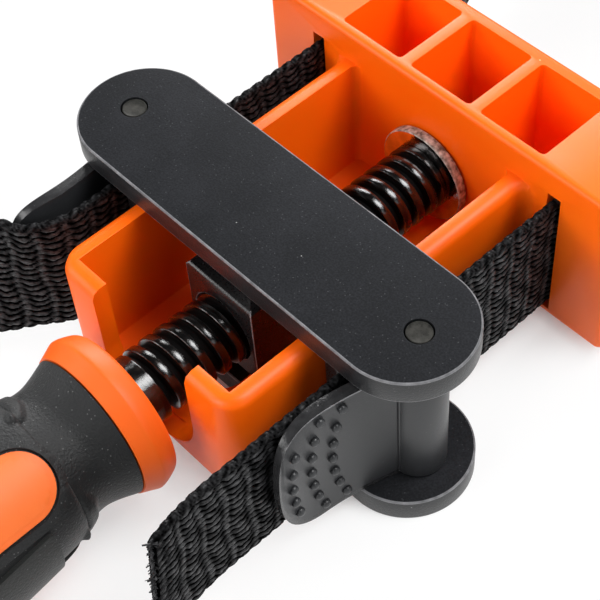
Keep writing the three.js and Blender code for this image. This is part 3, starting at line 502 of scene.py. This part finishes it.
yarn_black = webbing_material("yarn_black", relief=0.0003, shaped=True)
webbing_black = webbing_material("webbing_black", relief=0.0005, shaped=False)


# Making and finishing a piece

def finished(name, bm, body, materials, stands_for=(), crease=38):
    """The piece made from this shape, on its body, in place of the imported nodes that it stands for."""
    bmesh.ops.scale(bm, vec=(MM, MM, MM), verts=bm.verts)
    mesh = bpy.data.meshes.new(name)
    bm.to_mesh(mesh)
    bm.free()
    for one in materials:
        mesh.materials.append(one)
    mesh.shade_smooth()
    mesh.set_sharp_from_angle(angle=math.radians(crease))
    piece = bpy.data.objects.new("detailed_" + name, mesh)
    bpy.context.scene.collection.objects.link(piece)
    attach(piece, body)
    if stands_for:
        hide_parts(*stands_for)
    return piece


def verts_of(made):
    return [item for item in made["geom"] if isinstance(item, bmesh.types.BMVert)]


def everything(bm):
    return bm.verts[:] + bm.edges[:] + bm.faces[:]


def rim_layer(bm):
    return bm.faces.layers.float.get("rim") or bm.faces.layers.float.new("rim")


def rounded(bm, edges, width, segments=3):
    """Rounds these edges and marks the new faces as a rim, which some materials paint paler: edge wear and a
    painted edge highlight.
    """
    rim_mark = rim_layer(bm)
    made = bmesh.ops.bevel(
        bm, geom=edges, offset=width, segments=segments, profile=0.5, affect="EDGES",
        clamp_overlap=True, material=-1,
    )
    for face in made["faces"]:
        face[rim_mark] = 1.0


def sharp_edges(bm, degrees):
    limit = math.radians(degrees)
    return [edge for edge in bm.edges if len(edge.link_faces) == 2 and edge.calc_face_angle() > limit]


def softened(node_name, width):
    """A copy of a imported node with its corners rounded."""
    bm = bmesh.new()
    bm.from_mesh(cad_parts[node_name].data)
    bmesh.ops.scale(bm, vec=(1 / MM, 1 / MM, 1 / MM), verts=bm.verts)
    bmesh.ops.remove_doubles(bm, verts=bm.verts, dist=0.003)
    bmesh.ops.dissolve_limit(bm, angle_limit=math.radians(1), verts=bm.verts, edges=bm.edges)
    rounded(bm, sharp_edges(bm, 50), width)
    return bm


def spun(bm, profile, steps=72, turns=1, advance=0.0):
    """Turns a line of (x, radius) points about the X axis, moving it along by advance each turn."""
    before = set(bm.verts)
    points = [bm.verts.new((x, 0, radius)) for x, radius in profile]
    lines = [bm.edges.new(pair) for pair in zip(points, points[1:])]
    bmesh.ops.spin(
        bm, geom=points + lines, axis=(1, 0, 0), cent=(0, 0, 0), dvec=(advance / steps, 0, 0),
        angle=FULL_TURN * turns, steps=steps * turns, use_merge=advance == 0,
    )
    made = [vert for vert in bm.verts if vert not in before]
    bmesh.ops.remove_doubles(bm, verts=made, dist=0.001)
    return [vert for vert in bm.verts if vert not in before]


def outward(bm):
    bmesh.ops.recalc_face_normals(bm, faces=bm.faces)


def to_screw_height(bm):
    bmesh.ops.translate(bm, verts=bm.verts, vec=(0, 0, SCREW_HEIGHT))


def stand_up(bm, verts, x, y):
    """Stands what was turned about the X axis on end at (x, y)."""
    bmesh.ops.rotate(bm, verts=verts, cent=(0, 0, 0), matrix=Matrix.Rotation(-math.pi / 2, 3, "Y"))
    bmesh.ops.translate(bm, verts=verts, vec=(x, y, 0))


def smoothstep(value, low, high):
    share = max(0.0, min(1.0, (value - low) / (high - low)))
    return share * share * (3 - 2 * share)


def catmull_rom(knots, count):
    """A smooth line through these knots, in count steps."""
    line = []
    last = len(knots) - 1
    for i in range(count + 1):
        at = i / count * last
        k = min(int(at), last - 1)
        t = at - k
        p = [knots[max(0, min(last, k + j))] for j in (-1, 0, 1, 2)]
        line.append(tuple(
            0.5 * (
                2 * b + (c - a) * t + (2 * a - 5 * b + 4 * c - d) * t ** 2 + (3 * b - a - 3 * c + d) * t ** 3
            )
            for a, b, c, d in zip(*p)
        ))
    return line


# Traveller plates with their rims and rivet holes

def plate(name, low, high):
    bm = bmesh.new()
    half_step = Matrix.Rotation(math.pi / PLATE_STEPS, 4, "Z")
    outline = bmesh.ops.create_circle(bm, segments=PLATE_STEPS, radius=PLATE_RADIUS, matrix=half_step)
    for vert in outline["verts"]:
        vert.co.y += math.copysign(PLATE_ARC_OFFSET, vert.co.y)
    for side in (-1, 1):
        at_pin = Matrix.Translation((0, side * PIN_OFFSET, 0))
        bmesh.ops.create_circle(bm, segments=40, radius=PIN_HOLE, matrix=at_pin)
    bmesh.ops.triangle_fill(bm, edges=bm.edges[:], use_beauty=True)
    bmesh.ops.translate(bm, verts=bm.verts, vec=(0, 0, low))
    raised = bmesh.ops.extrude_face_region(bm, geom=bm.faces[:] + bm.edges[:])
    bmesh.ops.translate(bm, verts=verts_of(raised), vec=(0, 0, high - low))
    outward(bm)
    holes = [Vector((0, side * PIN_OFFSET)) for side in (-1, 1)]
    corners = []
    for edge in sharp_edges(bm, 60):
        if min((edge.verts[0].co.xy - hole).length for hole in holes) > PIN_HOLE + 0.1:
            corners.append(edge)
    rounded(bm, corners, 0.3)
    for face in bm.faces:
        face.material_index = 1 if abs(face.normal.z) < 0.5 else 0
    finished(name, bm, "traveller", [plate_black, plate_side], [name])


plate("bottom_plate", 0, PLATE_THICK)
plate("top_plate", PLATE_TOP_BASE, CLAMP_TOP)

RIVET = [
    (0.3, 0), (0.3, 1.8), (0.5, 2.0), (1.8, 2.0), (1.8, 1.5), (34.7, 1.5), (34.7, 2.0),
    (35.85, 2.0), (36.0, 1.96), (36.06, 1.84), (36.03, 1.6), (35.98, 1.1), (35.97, 0),
]
for side_name, side in (("left", 1), ("right", -1)):
    bm = bmesh.new()
    stand_up(bm, spun(bm, RIVET, 48), 0, side * PIN_OFFSET)
    outward(bm)
    pin = "pivot_pin_" + side_name
    finished(pin, bm, "traveller", [rivet_steel], [pin], 30)
    anvil = "anvil_" + side_name
    finished(anvil, softened(anvil, 0.4), "traveller", [nut_black], [anvil])
finished("nut_block", softened("nut_block", 0.25), "traveller", [nut_black], ["nut_block"])


# Frame and washers

finished("frame", softened("frame", 0.45), "frame", [frame_orange], ["frame"])

WASHER = [
    (32.66, 4.3), (32.66, 8.5), (32.78, 8.66), (32.95, 8.7), (34.1, 8.7),
    (34.28, 8.66), (34.4, 8.5), (34.4, 4.3), (32.66, 4.3),
]
bm = bmesh.new()
spun(bm, WASHER, 96)
outward(bm)
for face in bm.faces:
    face.material_index = 1 if math.hypot(*face.calc_center_median().yz) > 8.52 else 0
to_screw_height(bm)
finished("thrust_washer", bm, "frame", [washer_steel, scuffed_steel], ["thrust_washer"], 30)


# Lead screw

RIDGE = [
    (0, THREAD_ROOT), (0.6, THREAD_ROOT), (0.76, 4.84), (1.08, 5.8), (1.14, 5.93), (1.24, THREAD_RADIUS),
    (2.44, THREAD_RADIUS), (2.54, 5.93), (2.6, 5.8), (2.9, 4.84), (2.98, THREAD_ROOT),
    (THREAD_PITCH, THREAD_ROOT),
]
SCREW_CORE = [
    (-76, 0), (-76, 5), (-30.7, 5), (-30.7, 5.6), (-30.55, 5.82), (-30.3, 5.91), (-30.2, 4.74),
    (32.5, 4.74), (32.5, 4), (37.8, 4), (37.8, 3.2), (39.6, 3.2), (39.6, 4), (41.1, 4), (41.5, 3.6), (41.5, 0),
]
bm = bmesh.new()
first = THREAD_START - THREAD_RUN_IN
turns = math.ceil((THREAD_END - first) / THREAD_PITCH) + 1
for vert in spun(bm, [(first + x, radius) for x, radius in RIDGE], 48, turns, THREAD_PITCH):
    radius = math.hypot(vert.co.y, vert.co.z)
    groove = smoothstep(vert.co.x, *THREAD_FADE_IN) * (1 - smoothstep(vert.co.x, *THREAD_FADE_OUT))
    share = (THREAD_BLANK - (THREAD_BLANK - radius) * groove) / radius
    vert.co.y *= share
    vert.co.z *= share
for end, heading in ((THREAD_START, -1), (THREAD_END, 1)):
    cut = bmesh.ops.bisect_plane(
        bm, geom=everything(bm), dist=0.001, plane_co=(end, 0, 0), plane_no=(heading, 0, 0), clear_outer=True
    )
    open_edges = [item for item in cut["geom_cut"] if isinstance(item, bmesh.types.BMEdge)]
    bmesh.ops.holes_fill(bm, edges=open_edges, sides=0)
turn = Matrix.Rotation(math.radians(THREAD_TURN), 3, "X")
bmesh.ops.rotate(bm, verts=bm.verts, cent=(0, 0, 0), matrix=turn)
spun(bm, SCREW_CORE, 72)
to_screw_height(bm)
outward(bm)
finished("lead_screw", bm, "screw", [screw_steel], ["lead_screw"], 40)


# Handle

GRIP_LINE = catmull_rom([(COLLAR_FACE - back, radius) for back, radius in GRIP_KNOTS], 160)


def grip_radius(x):
    for (x0, r0), (x1, r1) in zip(GRIP_LINE, GRIP_LINE[1:]):
        if x0 <= x <= x1:
            return r0 + (r1 - r0) * (x - x0) / max(x1 - x0, 1e-6)
    return GRIP_LINE[0][1]


def handle_pad(bm, degrees, start, length, half, rise, depth, edge, corner=None, hollow=None):
    """A long pad that follows the grip's surface, at an angle from +Z toward -Y. A hollow makes it a ring."""
    before = set(bm.verts)
    corner = corner or half
    low = COLLAR_FACE - start - length
    middle = low + length / 2
    for radius in [corner] + ([hollow] if hollow else []):
        half_step = Matrix.Rotation(math.pi / PAD_STEPS, 4, "Z")
        outline = bmesh.ops.create_circle(bm, segments=PAD_STEPS, radius=radius, matrix=half_step)
        for vert in outline["verts"]:
            vert.co.x += middle + math.copysign(length / 2 - corner, vert.co.x)
            vert.co.y += math.copysign(half - corner, vert.co.y)
    new_edges = [line for line in bm.edges if line.verts[0] not in before]
    bmesh.ops.triangle_fill(bm, edges=new_edges, use_beauty=True)

    def mine(items):
        return [item for item in items if all(v not in before for v in getattr(item, "verts", [item]))]

    cuts = [((x, 0, 0), (1, 0, 0)) for x in range(math.ceil(low) + 1, math.ceil(low + length), 2)]
    cuts += [((0, y, 0), (0, 1, 0)) for y in range(-int(half), int(half) + 1)]
    for point, direction in cuts:
        bmesh.ops.bisect_plane(
            bm, geom=mine(bm.verts) + mine(bm.edges) + mine(bm.faces), dist=0.01,
            plane_co=point, plane_no=direction,
        )
    top = bmesh.ops.extrude_face_region(bm, geom=mine(bm.faces) + mine(bm.edges))
    bmesh.ops.translate(bm, verts=verts_of(top), vec=(0, 0, depth))
    bmesh.ops.recalc_face_normals(bm, faces=mine(bm.faces))
    corners = [e for e in mine(sharp_edges(bm, 60)) if min(v.co.z for v in e.verts) > depth / 2]
    rounded(bm, corners, edge)
    for vert in mine(bm.verts):
        base = grip_radius(vert.co.x)
        out = base + rise - depth + vert.co.z
        turn = math.radians(degrees) + vert.co.y / base
        vert.co = Vector((vert.co.x, -out * math.sin(turn), out * math.cos(turn)))


bm = bmesh.new()
rim_line = catmull_rom([
    (COLLAR_BACK, 12.35), (-36.2, 12.72), (-35.0, 13.24), (-34.5, 13.45), (-34.1, 13.5), (-33.3, 13.35),
    (-32.3, 13.0), (-31.6, 12.7), (-31.2, 12.4), (-31.02, 12.0), (-31, 11.6),
], 44)
spun(bm, [(COLLAR_BACK, 9.3), *rim_line, (-31, 5.3), (-31.6, 5.2), (-36, 5.2), (COLLAR_BACK, 9.3)], 120)
for angle in INLAY_ANGLES:
    handle_pad(bm, angle, start=17.3, length=48, half=5.35, rise=0.32, depth=1.6, edge=0.5)
    handle_pad(bm, angle, start=18.2, length=46.2, half=4.45, rise=0.46, depth=0.5, edge=0.12)
to_screw_height(bm)
outward(bm)
for face in bm.faces:
    face.material_index = 0 if face.calc_center_median().x > COLLAR_COLOUR_END else 1
finished("handle_core", bm, "screw", [collar_orange, inlay_orange], ["handle_core"], 45)


def knob(back, degrees):
    """How far the knob ahead of each land stands out, at a distance behind the collar and an angle."""
    nearest = min(LAND_ANGLES, key=lambda land: abs((degrees - land + 180) % 360 - 180))
    off = (degrees - nearest + 180) % 360 - 180
    taper = smoothstep(off, *KNOB_TAPER_IN) * (1 - smoothstep(off, *KNOB_TAPER_OUT))
    centre_back = KNOB_BACK + 1.4 * smoothstep(off, 4, 22) + 0.4 * smoothstep(-off, 10, 32)
    across = abs(back - centre_back) / (KNOB_HALF * (0.35 + 0.65 * taper))
    return KNOB_RISE * taper * (1 - smoothstep(across, 0.35, 1.1))


bm = bmesh.new()
grip_line = [(max(GRIP_BACK, min(GRIP_FRONT, x)), radius) for x, radius in GRIP_LINE]
fine_line = [point for point in grip_line if point[0] <= GRIP_FINE_BACK]
for i in range(1, GRIP_FINE_STEPS + 1):
    x = GRIP_FINE_BACK + GRIP_FINE_RUN * i / GRIP_FINE_STEPS
    fine_line.append((x, grip_radius(x)))
spun(bm, [(GRIP_BACK, GRIP_BORE), *fine_line, (GRIP_FRONT, GRIP_BORE), (GRIP_BACK, GRIP_BORE)], 180)
for vert in bm.verts:
    radius = math.hypot(vert.co.y, vert.co.z)
    if radius > 10:
        angle = math.degrees(math.atan2(-vert.co.y, vert.co.z))
        share = 1 + knob(COLLAR_FACE - vert.co.x, angle) / radius
        vert.co.y *= share
        vert.co.z *= share
for angle in INLAY_ANGLES:
    handle_pad(bm, angle, start=15.5, length=51.6, half=7.15, rise=0.6, depth=1.3, edge=0.35, hollow=5.75)
to_screw_height(bm)
outward(bm)
finished("handle_grip", bm, "screw", [rubber_black], ["handle_grip"], 40)

bm = bmesh.new()
for angle in LAND_ANGLES:
    handle_pad(bm, angle, start=22, length=46, half=5.6, rise=0.85, depth=1.5, edge=0.25, corner=0.9)
to_screw_height(bm)
outward(bm)
finished("grip_lands", bm, "screw", [rubber_land], (), 40)

bm = bmesh.new()
dome = []
for i in range(10, -1, -1):
    turn = math.pi / 2 * i / 10
    along = CAP_DOME_START - CAP_DOME_RADIUS * math.sin(turn)
    dome.append((along, CAP_DOME_CENTRE + CAP_DOME_RADIUS * math.cos(turn)))
spun(bm, [
    (CAP_END, 0), *dome, (-118.6, 12.6), (-118.35, 12.45), (-118.3, 12.2), (-118.3, 9),
    (CAP_SEAT, 9), (CAP_SEAT, 0),
], 96)
to_screw_height(bm)
outward(bm)
finished("handle_end_cap", bm, "screw", [inlay_orange], ["handle_end_cap"], 40)


# Cam levers

def cam_radius(degrees):
    """The barrel's radius at an angle clockwise from +X, from -180 to 180. It eases off beside the strap."""
    if 15 <= degrees <= 100:
        return BARREL_RADIUS - 0.6 * (100 - degrees) / 85
    if -40 < degrees < 15:
        return BARREL_RADIUS - 0.6 * (degrees + 40) / 55
    return BARREL_RADIUS


def bezier(p0, p1, p2, p3, t):
    u = 1 - t
    return tuple(
        u ** 3 * a + 3 * u * u * t * b + 3 * u * t * t * c + t ** 3 * d for a, b, c, d in zip(p0, p1, p2, p3)
    )


def bezier_points(p0, p1, p2, p3, count):
    return [bezier(p0, p1, p2, p3, i / count) for i in range(count + 1)]


FACE_LINE = bezier_points(*TAB_FACE, 60)


def tab_face(x):
    """How far the tab's palm face stands out at a distance along it."""
    for (x0, y0), (x1, y1) in zip(FACE_LINE, FACE_LINE[1:]):
        if x1 <= x <= x0:
            return y0 + (y1 - y0) * (x - x0) / (x1 - x0)
    return FACE_LINE[0][1] if x > FACE_LINE[0][0] else FACE_LINE[-1][1]


def tab_outline():
    start = TAB_CORNER - TAB_REACH
    low = bezier_points((start, 0), (-22.25, 0), (-TAB_REACH, TAB_WAIST * 0.45), (-TAB_REACH, TAB_WAIST), 14)
    high = bezier_points(
        (-TAB_REACH, TAB_WAIST), (-TAB_REACH, 24.2), (-24.5, LEVER_HEIGHT), (start, LEVER_HEIGHT), 14
    )
    return [(0, 0), *low, *high[1:], (0, LEVER_HEIGHT)]


def tab():
    """A lever's thumb tab, with its face along X and its foot on z = 0."""
    bm = bmesh.new()
    bm.faces.new([bm.verts.new((x, 0, z)) for x, z in tab_outline()])
    for x in range(-26, 0):
        bmesh.ops.bisect_plane(bm, geom=everything(bm), dist=0.01, plane_co=(x, 0, 0), plane_no=(1, 0, 0))
    inner = bmesh.ops.extrude_face_region(bm, geom=bm.faces[:] + bm.edges[:])
    for vert in verts_of(inner):
        share = max(0.0, (-vert.co.x - 17) / 9.3)
        vert.co.y -= TAB_THICK + (TAB_TIP_THICK - TAB_THICK) * min(1.0, share)
    outward(bm)
    rounded(bm, [e for e in sharp_edges(bm, 60) if max(v.co.x for v in e.verts) < -0.5], 0.75, 4)
    palm = [f for f in bm.faces if f.normal.y > 0.99 and f.calc_center_median().y > -0.01]
    for face in bm.faces:
        face.material_index = 0 if abs(face.normal.y) > 0.99 else 1
    border = bmesh.ops.inset_region(bm, faces=palm, thickness=0.65, depth=-0.2, use_even_offset=True)
    for face in border["faces"]:
        face.material_index = 1
    # The bevel along the tab's top edge gets the full rim mark and other faces only a little: the pale streak
    # painted there is a painted highlight as well as wear.
    rim_mark = rim_layer(bm)
    for face in bm.faces:
        middle = face.calc_center_median()
        on_top = middle.z > LEVER_HEIGHT - 1.7 and -0.45 < middle.y < -0.01 and middle.x < -3
        face[rim_mark] = 1.0 if on_top and face.material_index == 1 else 0.1
    for vert in bm.verts:
        vert.co.y += tab_face(vert.co.x)
    return bm


def tab_details(bm):
    """The dots of the palm face, and the ribs by the barrel."""
    for column, count in enumerate(DOT_COLUMNS):
        for i in range(count):
            rise = (i - (count - 1) / 2) * DOT_RISE
            sag = DOT_ARC - math.sqrt(DOT_ARC ** 2 - rise ** 2)
            x = -(TAB_REACH - DOT_MARGIN - column * DOT_STEP - sag)
            slope = tab_face(x + 0.5) - tab_face(x - 0.5)
            spot = Matrix.Translation((x, tab_face(x), LEVER_HEIGHT / 2 + rise))
            placed = spot @ Matrix.Rotation(math.atan(slope), 4, "Z") @ Matrix.Diagonal(DOT_SIZE)
            bmesh.ops.create_uvsphere(bm, u_segments=16, v_segments=10, radius=1, matrix=placed)
    for x in GRIP_RIBS:
        bmesh.ops.create_cone(
            bm, cap_ends=True, segments=10, radius1=0.2, radius2=0.2, depth=LEVER_HEIGHT - 1.6,
            matrix=Matrix.Translation((x, tab_face(x), LEVER_HEIGHT / 2)),
        )


def barrel_point(angle):
    radius = cam_radius(-math.degrees(angle) + (360 if angle > math.pi else 0))
    return radius * math.cos(angle), radius * math.sin(angle), 0


def add_barrel(bm):
    """Adds the cam barrel that turns on the pin."""
    barrel = bmesh.new()
    outline = [barrel.verts.new(barrel_point(math.radians(step * 5))) for step in range(72)]
    for first, second in zip(outline, outline[1:] + outline[:1]):
        barrel.edges.new((first, second))
    bmesh.ops.create_circle(barrel, segments=40, radius=BARREL_BORE)
    bmesh.ops.triangle_fill(barrel, edges=barrel.edges[:], use_beauty=True)
    raised = bmesh.ops.extrude_face_region(barrel, geom=barrel.faces[:] + barrel.edges[:])
    bmesh.ops.translate(barrel, verts=verts_of(raised), vec=(0, 0, LEVER_HEIGHT))
    outward(barrel)
    rounded(barrel, [e for e in sharp_edges(barrel, 60) if e.verts[0].co.xy.length > 3], 0.35)
    joined = bpy.data.meshes.new("barrel")
    barrel.to_mesh(joined)
    barrel.free()
    bm.from_mesh(joined)


def lever(name, side, rest_angle):
    bm = tab()
    tab_details(bm)
    add_barrel(bm)
    turn = Matrix.Rotation(-math.radians(rest_angle), 3, "Z")
    bmesh.ops.rotate(bm, verts=bm.verts, cent=(0, 0, 0), matrix=turn)
    bmesh.ops.translate(bm, verts=bm.verts, vec=(0, PIN_OFFSET, LEVER_BASE))
    if side < 0:
        bmesh.ops.scale(bm, vec=(1, -1, 1), verts=bm.verts)
        bmesh.ops.reverse_faces(bm, faces=bm.faces)
    outward(bm)
    piece = "cam_lever_" + name
    finished(piece, bm, "lever_" + name, [lever_grey, lever_rim], [piece])


lever("left", 1, LEFT_REST_ANGLE)
lever("right", -1, 0)


# Webbing

def laid_line(x, y, heading, legs):
    """A line over the bench from legs of (length, degrees turned): its place at a distance, and its length."""
    starts = []
    run = 0.0

    def onward(x, y, heading, length, turned, distance):
        angle = math.radians(heading)
        if not turned:
            return x + distance * math.cos(angle), y + distance * math.sin(angle), heading
        radius = length / math.radians(turned)
        later = angle + distance / radius
        return (
            x + radius * (math.sin(later) - math.sin(angle)),
            y - radius * (math.cos(later) - math.cos(angle)),
            math.degrees(later),
        )

    for length, turned in legs:
        starts.append((run, x, y, heading, length, turned))
        x, y, heading = onward(x, y, heading, length, turned, length)
        run += length

    def place(s):
        leg = [start for start in starts if start[0] <= s + 1e-9 or start is starts[0]][-1]
        return onward(*leg[1:], s - leg[0])

    return place, run


def yarn(s, v):
    """How far the uneven yarns rise at a distance along and across the webbing, from 0 to 1."""
    phase = FULL_TURN * s / WEAVE_PITCH + 0.4 * math.sin(0.5 * v + 0.13 * s)
    swing = math.cos(phase) - YARN_PEAK * math.cos(2 * phase)
    waver = 0.12 * math.sin(0.31 * s) + 0.09 * math.sin(1.9 * s + 1.3 * v) + 0.06 * math.sin(4.7 * s - 2.1 * v)
    row = v / YARN_PITCH + WEAVE_WAVE * swing + waver
    count = math.floor(row)
    half = YARN_HALF - YARN_GAP * swing + 0.03 * math.sin(3.7 * count + 2.9 * s)
    lift = YARN_LOW + YARN_SWELL * swing ** 2 + YARN_TILT * swing
    lift *= 0.86 + 0.14 * math.sin(5.1 * count + 1.3 * s)
    return min(1.0, lift) * math.sqrt(max(0.0, 1 - abs((row % 1.0 - 0.5) / half) ** 3))


def fray(bm, place, length, slant, count, shade):
    """Short loose yarns at the cut end."""
    draws = random.Random(7)
    for _ in range(count):
        level = draws.uniform(-12.4, 12.4)
        x, y, heading = place(length)
        back = slant * level / STRAP_WIDTH - draws.uniform(-0.3, 0.5)
        angle = math.radians(heading)
        spot = Vector((
            x - back * math.cos(angle), y - back * math.sin(angle), STRAP_BASE + STRAP_WIDTH / 2 + level
        ))
        turn = Matrix.Rotation(math.radians(heading + draws.uniform(-50, 50)), 4, "Z")
        dip = Matrix.Rotation(math.radians(90 + draws.uniform(-45, 45)), 4, "Y")
        thick = draws.uniform(0.06, 0.3)
        made = bmesh.ops.create_cone(
            bm, cap_ends=True, segments=5, radius1=thick, radius2=thick / 2,
            depth=draws.uniform(0.8, 2.4) - thick, matrix=Matrix.Translation(spot) @ turn @ dip,
        )
        for vert in made["verts"]:
            vert[shade] = 0.6


def webbing(
    name, place, length, stands_for, start=0.0, along=0.35, across=100, base=None, lean=None,
    relief=YARN_RISE, half=WEB_HALF, melted=0, slant=0.0, frayed=0,
):
    """A woven band on its edge along a line, as a closed sheet."""
    base = base or (lambda s: STRAP_BASE)
    lean = lean or (lambda s: 0.0)
    bm = bmesh.new()
    rows = max(2, round(length / along))
    bmesh.ops.create_grid(bm, x_segments=rows, y_segments=2 * across, size=0.5)
    far = bm.verts.layers.float.new("far")
    wide = bm.verts.layers.float.new("wide")
    shade = bm.verts.layers.float.new("yarn")
    for vert in bm.verts:
        s = (vert.co.x + 0.5) * length
        around = (vert.co.y + 0.5) * 2
        side = 1 if around <= 1 else -1
        q = 2 * (around if around <= 1 else 2 - around) - 1
        v = q * STRAP_WIDTH / 2
        round_edge = math.sqrt(max(0.0, 1 - abs(q) ** 18))
        loops = abs(math.cos(FULL_TURN * (s + start) / WEAVE_PITCH)) ** 0.6
        edge = smoothstep(abs(v), *SELVEDGE)
        twist = abs(math.sin(math.pi * ((s + start) / 1.15 + side * v * 0.8 + 0.3 * math.sin(1.7 * s))))
        flat_part = yarn(s + start, v if side > 0 else -v)
        pattern = flat_part * (1 - edge) + (0.15 + 0.15 * loops + 0.5 * twist) * edge
        melt = smoothstep(s - length + melted, -0.4, 0.6) if melted else 0
        bead = 0.2 + 0.12 * math.sin(4.1 * v) + 0.1 * math.sin(9.3 * v + 3 * s)
        pattern = pattern * (1 - 0.55 * melt) + melt * bead
        h = side * round_edge * (half + relief * pattern)
        level = v * (1 - 0.034 * (1 - loops) * edge)
        vert[far], vert[wide], vert[shade] = s + start, v, pattern * (1 - 0.35 * edge)
        cut = slant * level / STRAP_WIDTH * smoothstep(s, length - 12, length)
        x, y, heading = place(max(0.0, s))
        angle, tip = math.radians(heading), math.radians(lean(s))
        sideways = h * math.cos(tip) + level * math.sin(tip)
        vert.co = Vector((
            x - sideways * math.sin(angle) - cut * math.cos(angle),
            y + sideways * math.cos(angle) - cut * math.sin(angle),
            base(s) + STRAP_WIDTH / 2 + level * math.cos(tip) - h * math.sin(tip),
        ))
    bmesh.ops.remove_doubles(bm, verts=bm.verts, dist=0.0005)
    bmesh.ops.holes_fill(bm, edges=[edge for edge in bm.edges if edge.is_boundary], sides=0)
    fray(bm, place, length, slant, frayed, shade)
    outward(bm)
    unwrapped = bm.loops.layers.uv.new("webbing")
    for face in bm.faces:
        for loop in face.loops:
            loop[unwrapped].uv = (loop.vert[far] / WEB_MAP, loop.vert[wide] / WEB_MAP)
    cloth = yarn_black if relief > 0.1 else webbing_black
    piece = finished(name, bm, "traveller", [cloth], stands_for, 70)


cut_end_bend = math.degrees(CUT_END_LENGTH / CUT_END_RADIUS)
right_line, right_length = laid_line(
    STRAP_FRONT, -STRAP_OFFSET, 180, [(STRAP_FRONT + CUT_END_RUN, 0), (CUT_END_LENGTH, cut_end_bend)]
)
webbing("strap_right", right_line, right_length, ["strap_right"], melted=3, slant=3.4, frayed=170)

flare = FLARE_RADIUS * math.radians(FLARE_ANGLE)
narrowing = math.cos(math.radians(FLARE_ANGLE))
loop_radius = (STRAP_OFFSET + FLARE_RADIUS * (1 - narrowing)) / narrowing
loop_turn = 180 + 2 * FLARE_ANGLE
loop_line, loop_length = laid_line(STRAP_FRONT, STRAP_OFFSET, 0, [
    (LOOP_RUN, 0), (flare, FLARE_ANGLE), (loop_radius * math.radians(loop_turn), -loop_turn),
    (flare, FLARE_ANGLE), (LOOP_RUN, 0),
])
webbing("strap_loop", loop_line, loop_length, ["strap_loop"], along=0.5, across=80)

tail_bend = TAIL_RADIUS * math.radians(TAIL_ANGLE)
left_line, left_length = laid_line(
    STRAP_FRONT, STRAP_OFFSET, 180, [(STRAP_FRONT + TAIL_RUN, 0), (tail_bend, -TAIL_ANGLE), (TAIL_LENGTH, 0)]
)
straight = left_length - TAIL_LENGTH


def tail_base(s):
    """The strap's lower edge comes down to the bench on its way to the roll."""
    return STRAP_BASE * (1 - smoothstep(s, straight + 21, left_length - 3.5))


def tail_lean(s):
    """Degrees that the strap leans on the way, and stands up again at the roll."""
    upright = smoothstep(s, straight + 21, left_length - 7)
    return -12 * smoothstep(s, straight - 2.33, straight + 7) * (1 - upright)


webbing("strap_left", left_line, left_length, ["strap_left", "strap_tail"], base=tail_base, lean=tail_lean)

roll_x, roll_y, roll_heading = left_line(left_length)
inward = math.radians(roll_heading - 90)
centre = Vector((roll_x, roll_y)) + ROLL_RADIUS * Vector((math.cos(inward), math.sin(inward)))


def roll_line(s):
    """The coil, from its outer end inward."""
    turned = (ROLL_RADIUS - math.sqrt(ROLL_RADIUS ** 2 - ROLL_PITCH * s / math.pi)) * FULL_TURN / ROLL_PITCH
    radius = ROLL_RADIUS - ROLL_PITCH * turned / FULL_TURN
    angle = inward + math.pi - turned
    heading = roll_heading - math.degrees(turned)
    return centre.x + radius * math.cos(angle), centre.y + radius * math.sin(angle), heading


roll_length = FULL_TURN * ROLL_TURNS * (ROLL_RADIUS - ROLL_PITCH * ROLL_TURNS / 2)
webbing(
    "strap_roll", roll_line, roll_length, ["strap_roll"], start=left_length, along=1.3, across=8,
    base=lambda s: 0.0, relief=0.08, half=0.8,
)


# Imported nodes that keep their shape

for node_name in ("inner_washer", "retaining_clip", "handle_cross_pin"):
    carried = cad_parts[node_name]
    carried.data.materials.clear()
    carried.data.materials.append(rivet_steel)

bpy.context.scene.view_settings.view_transform = "Standard"
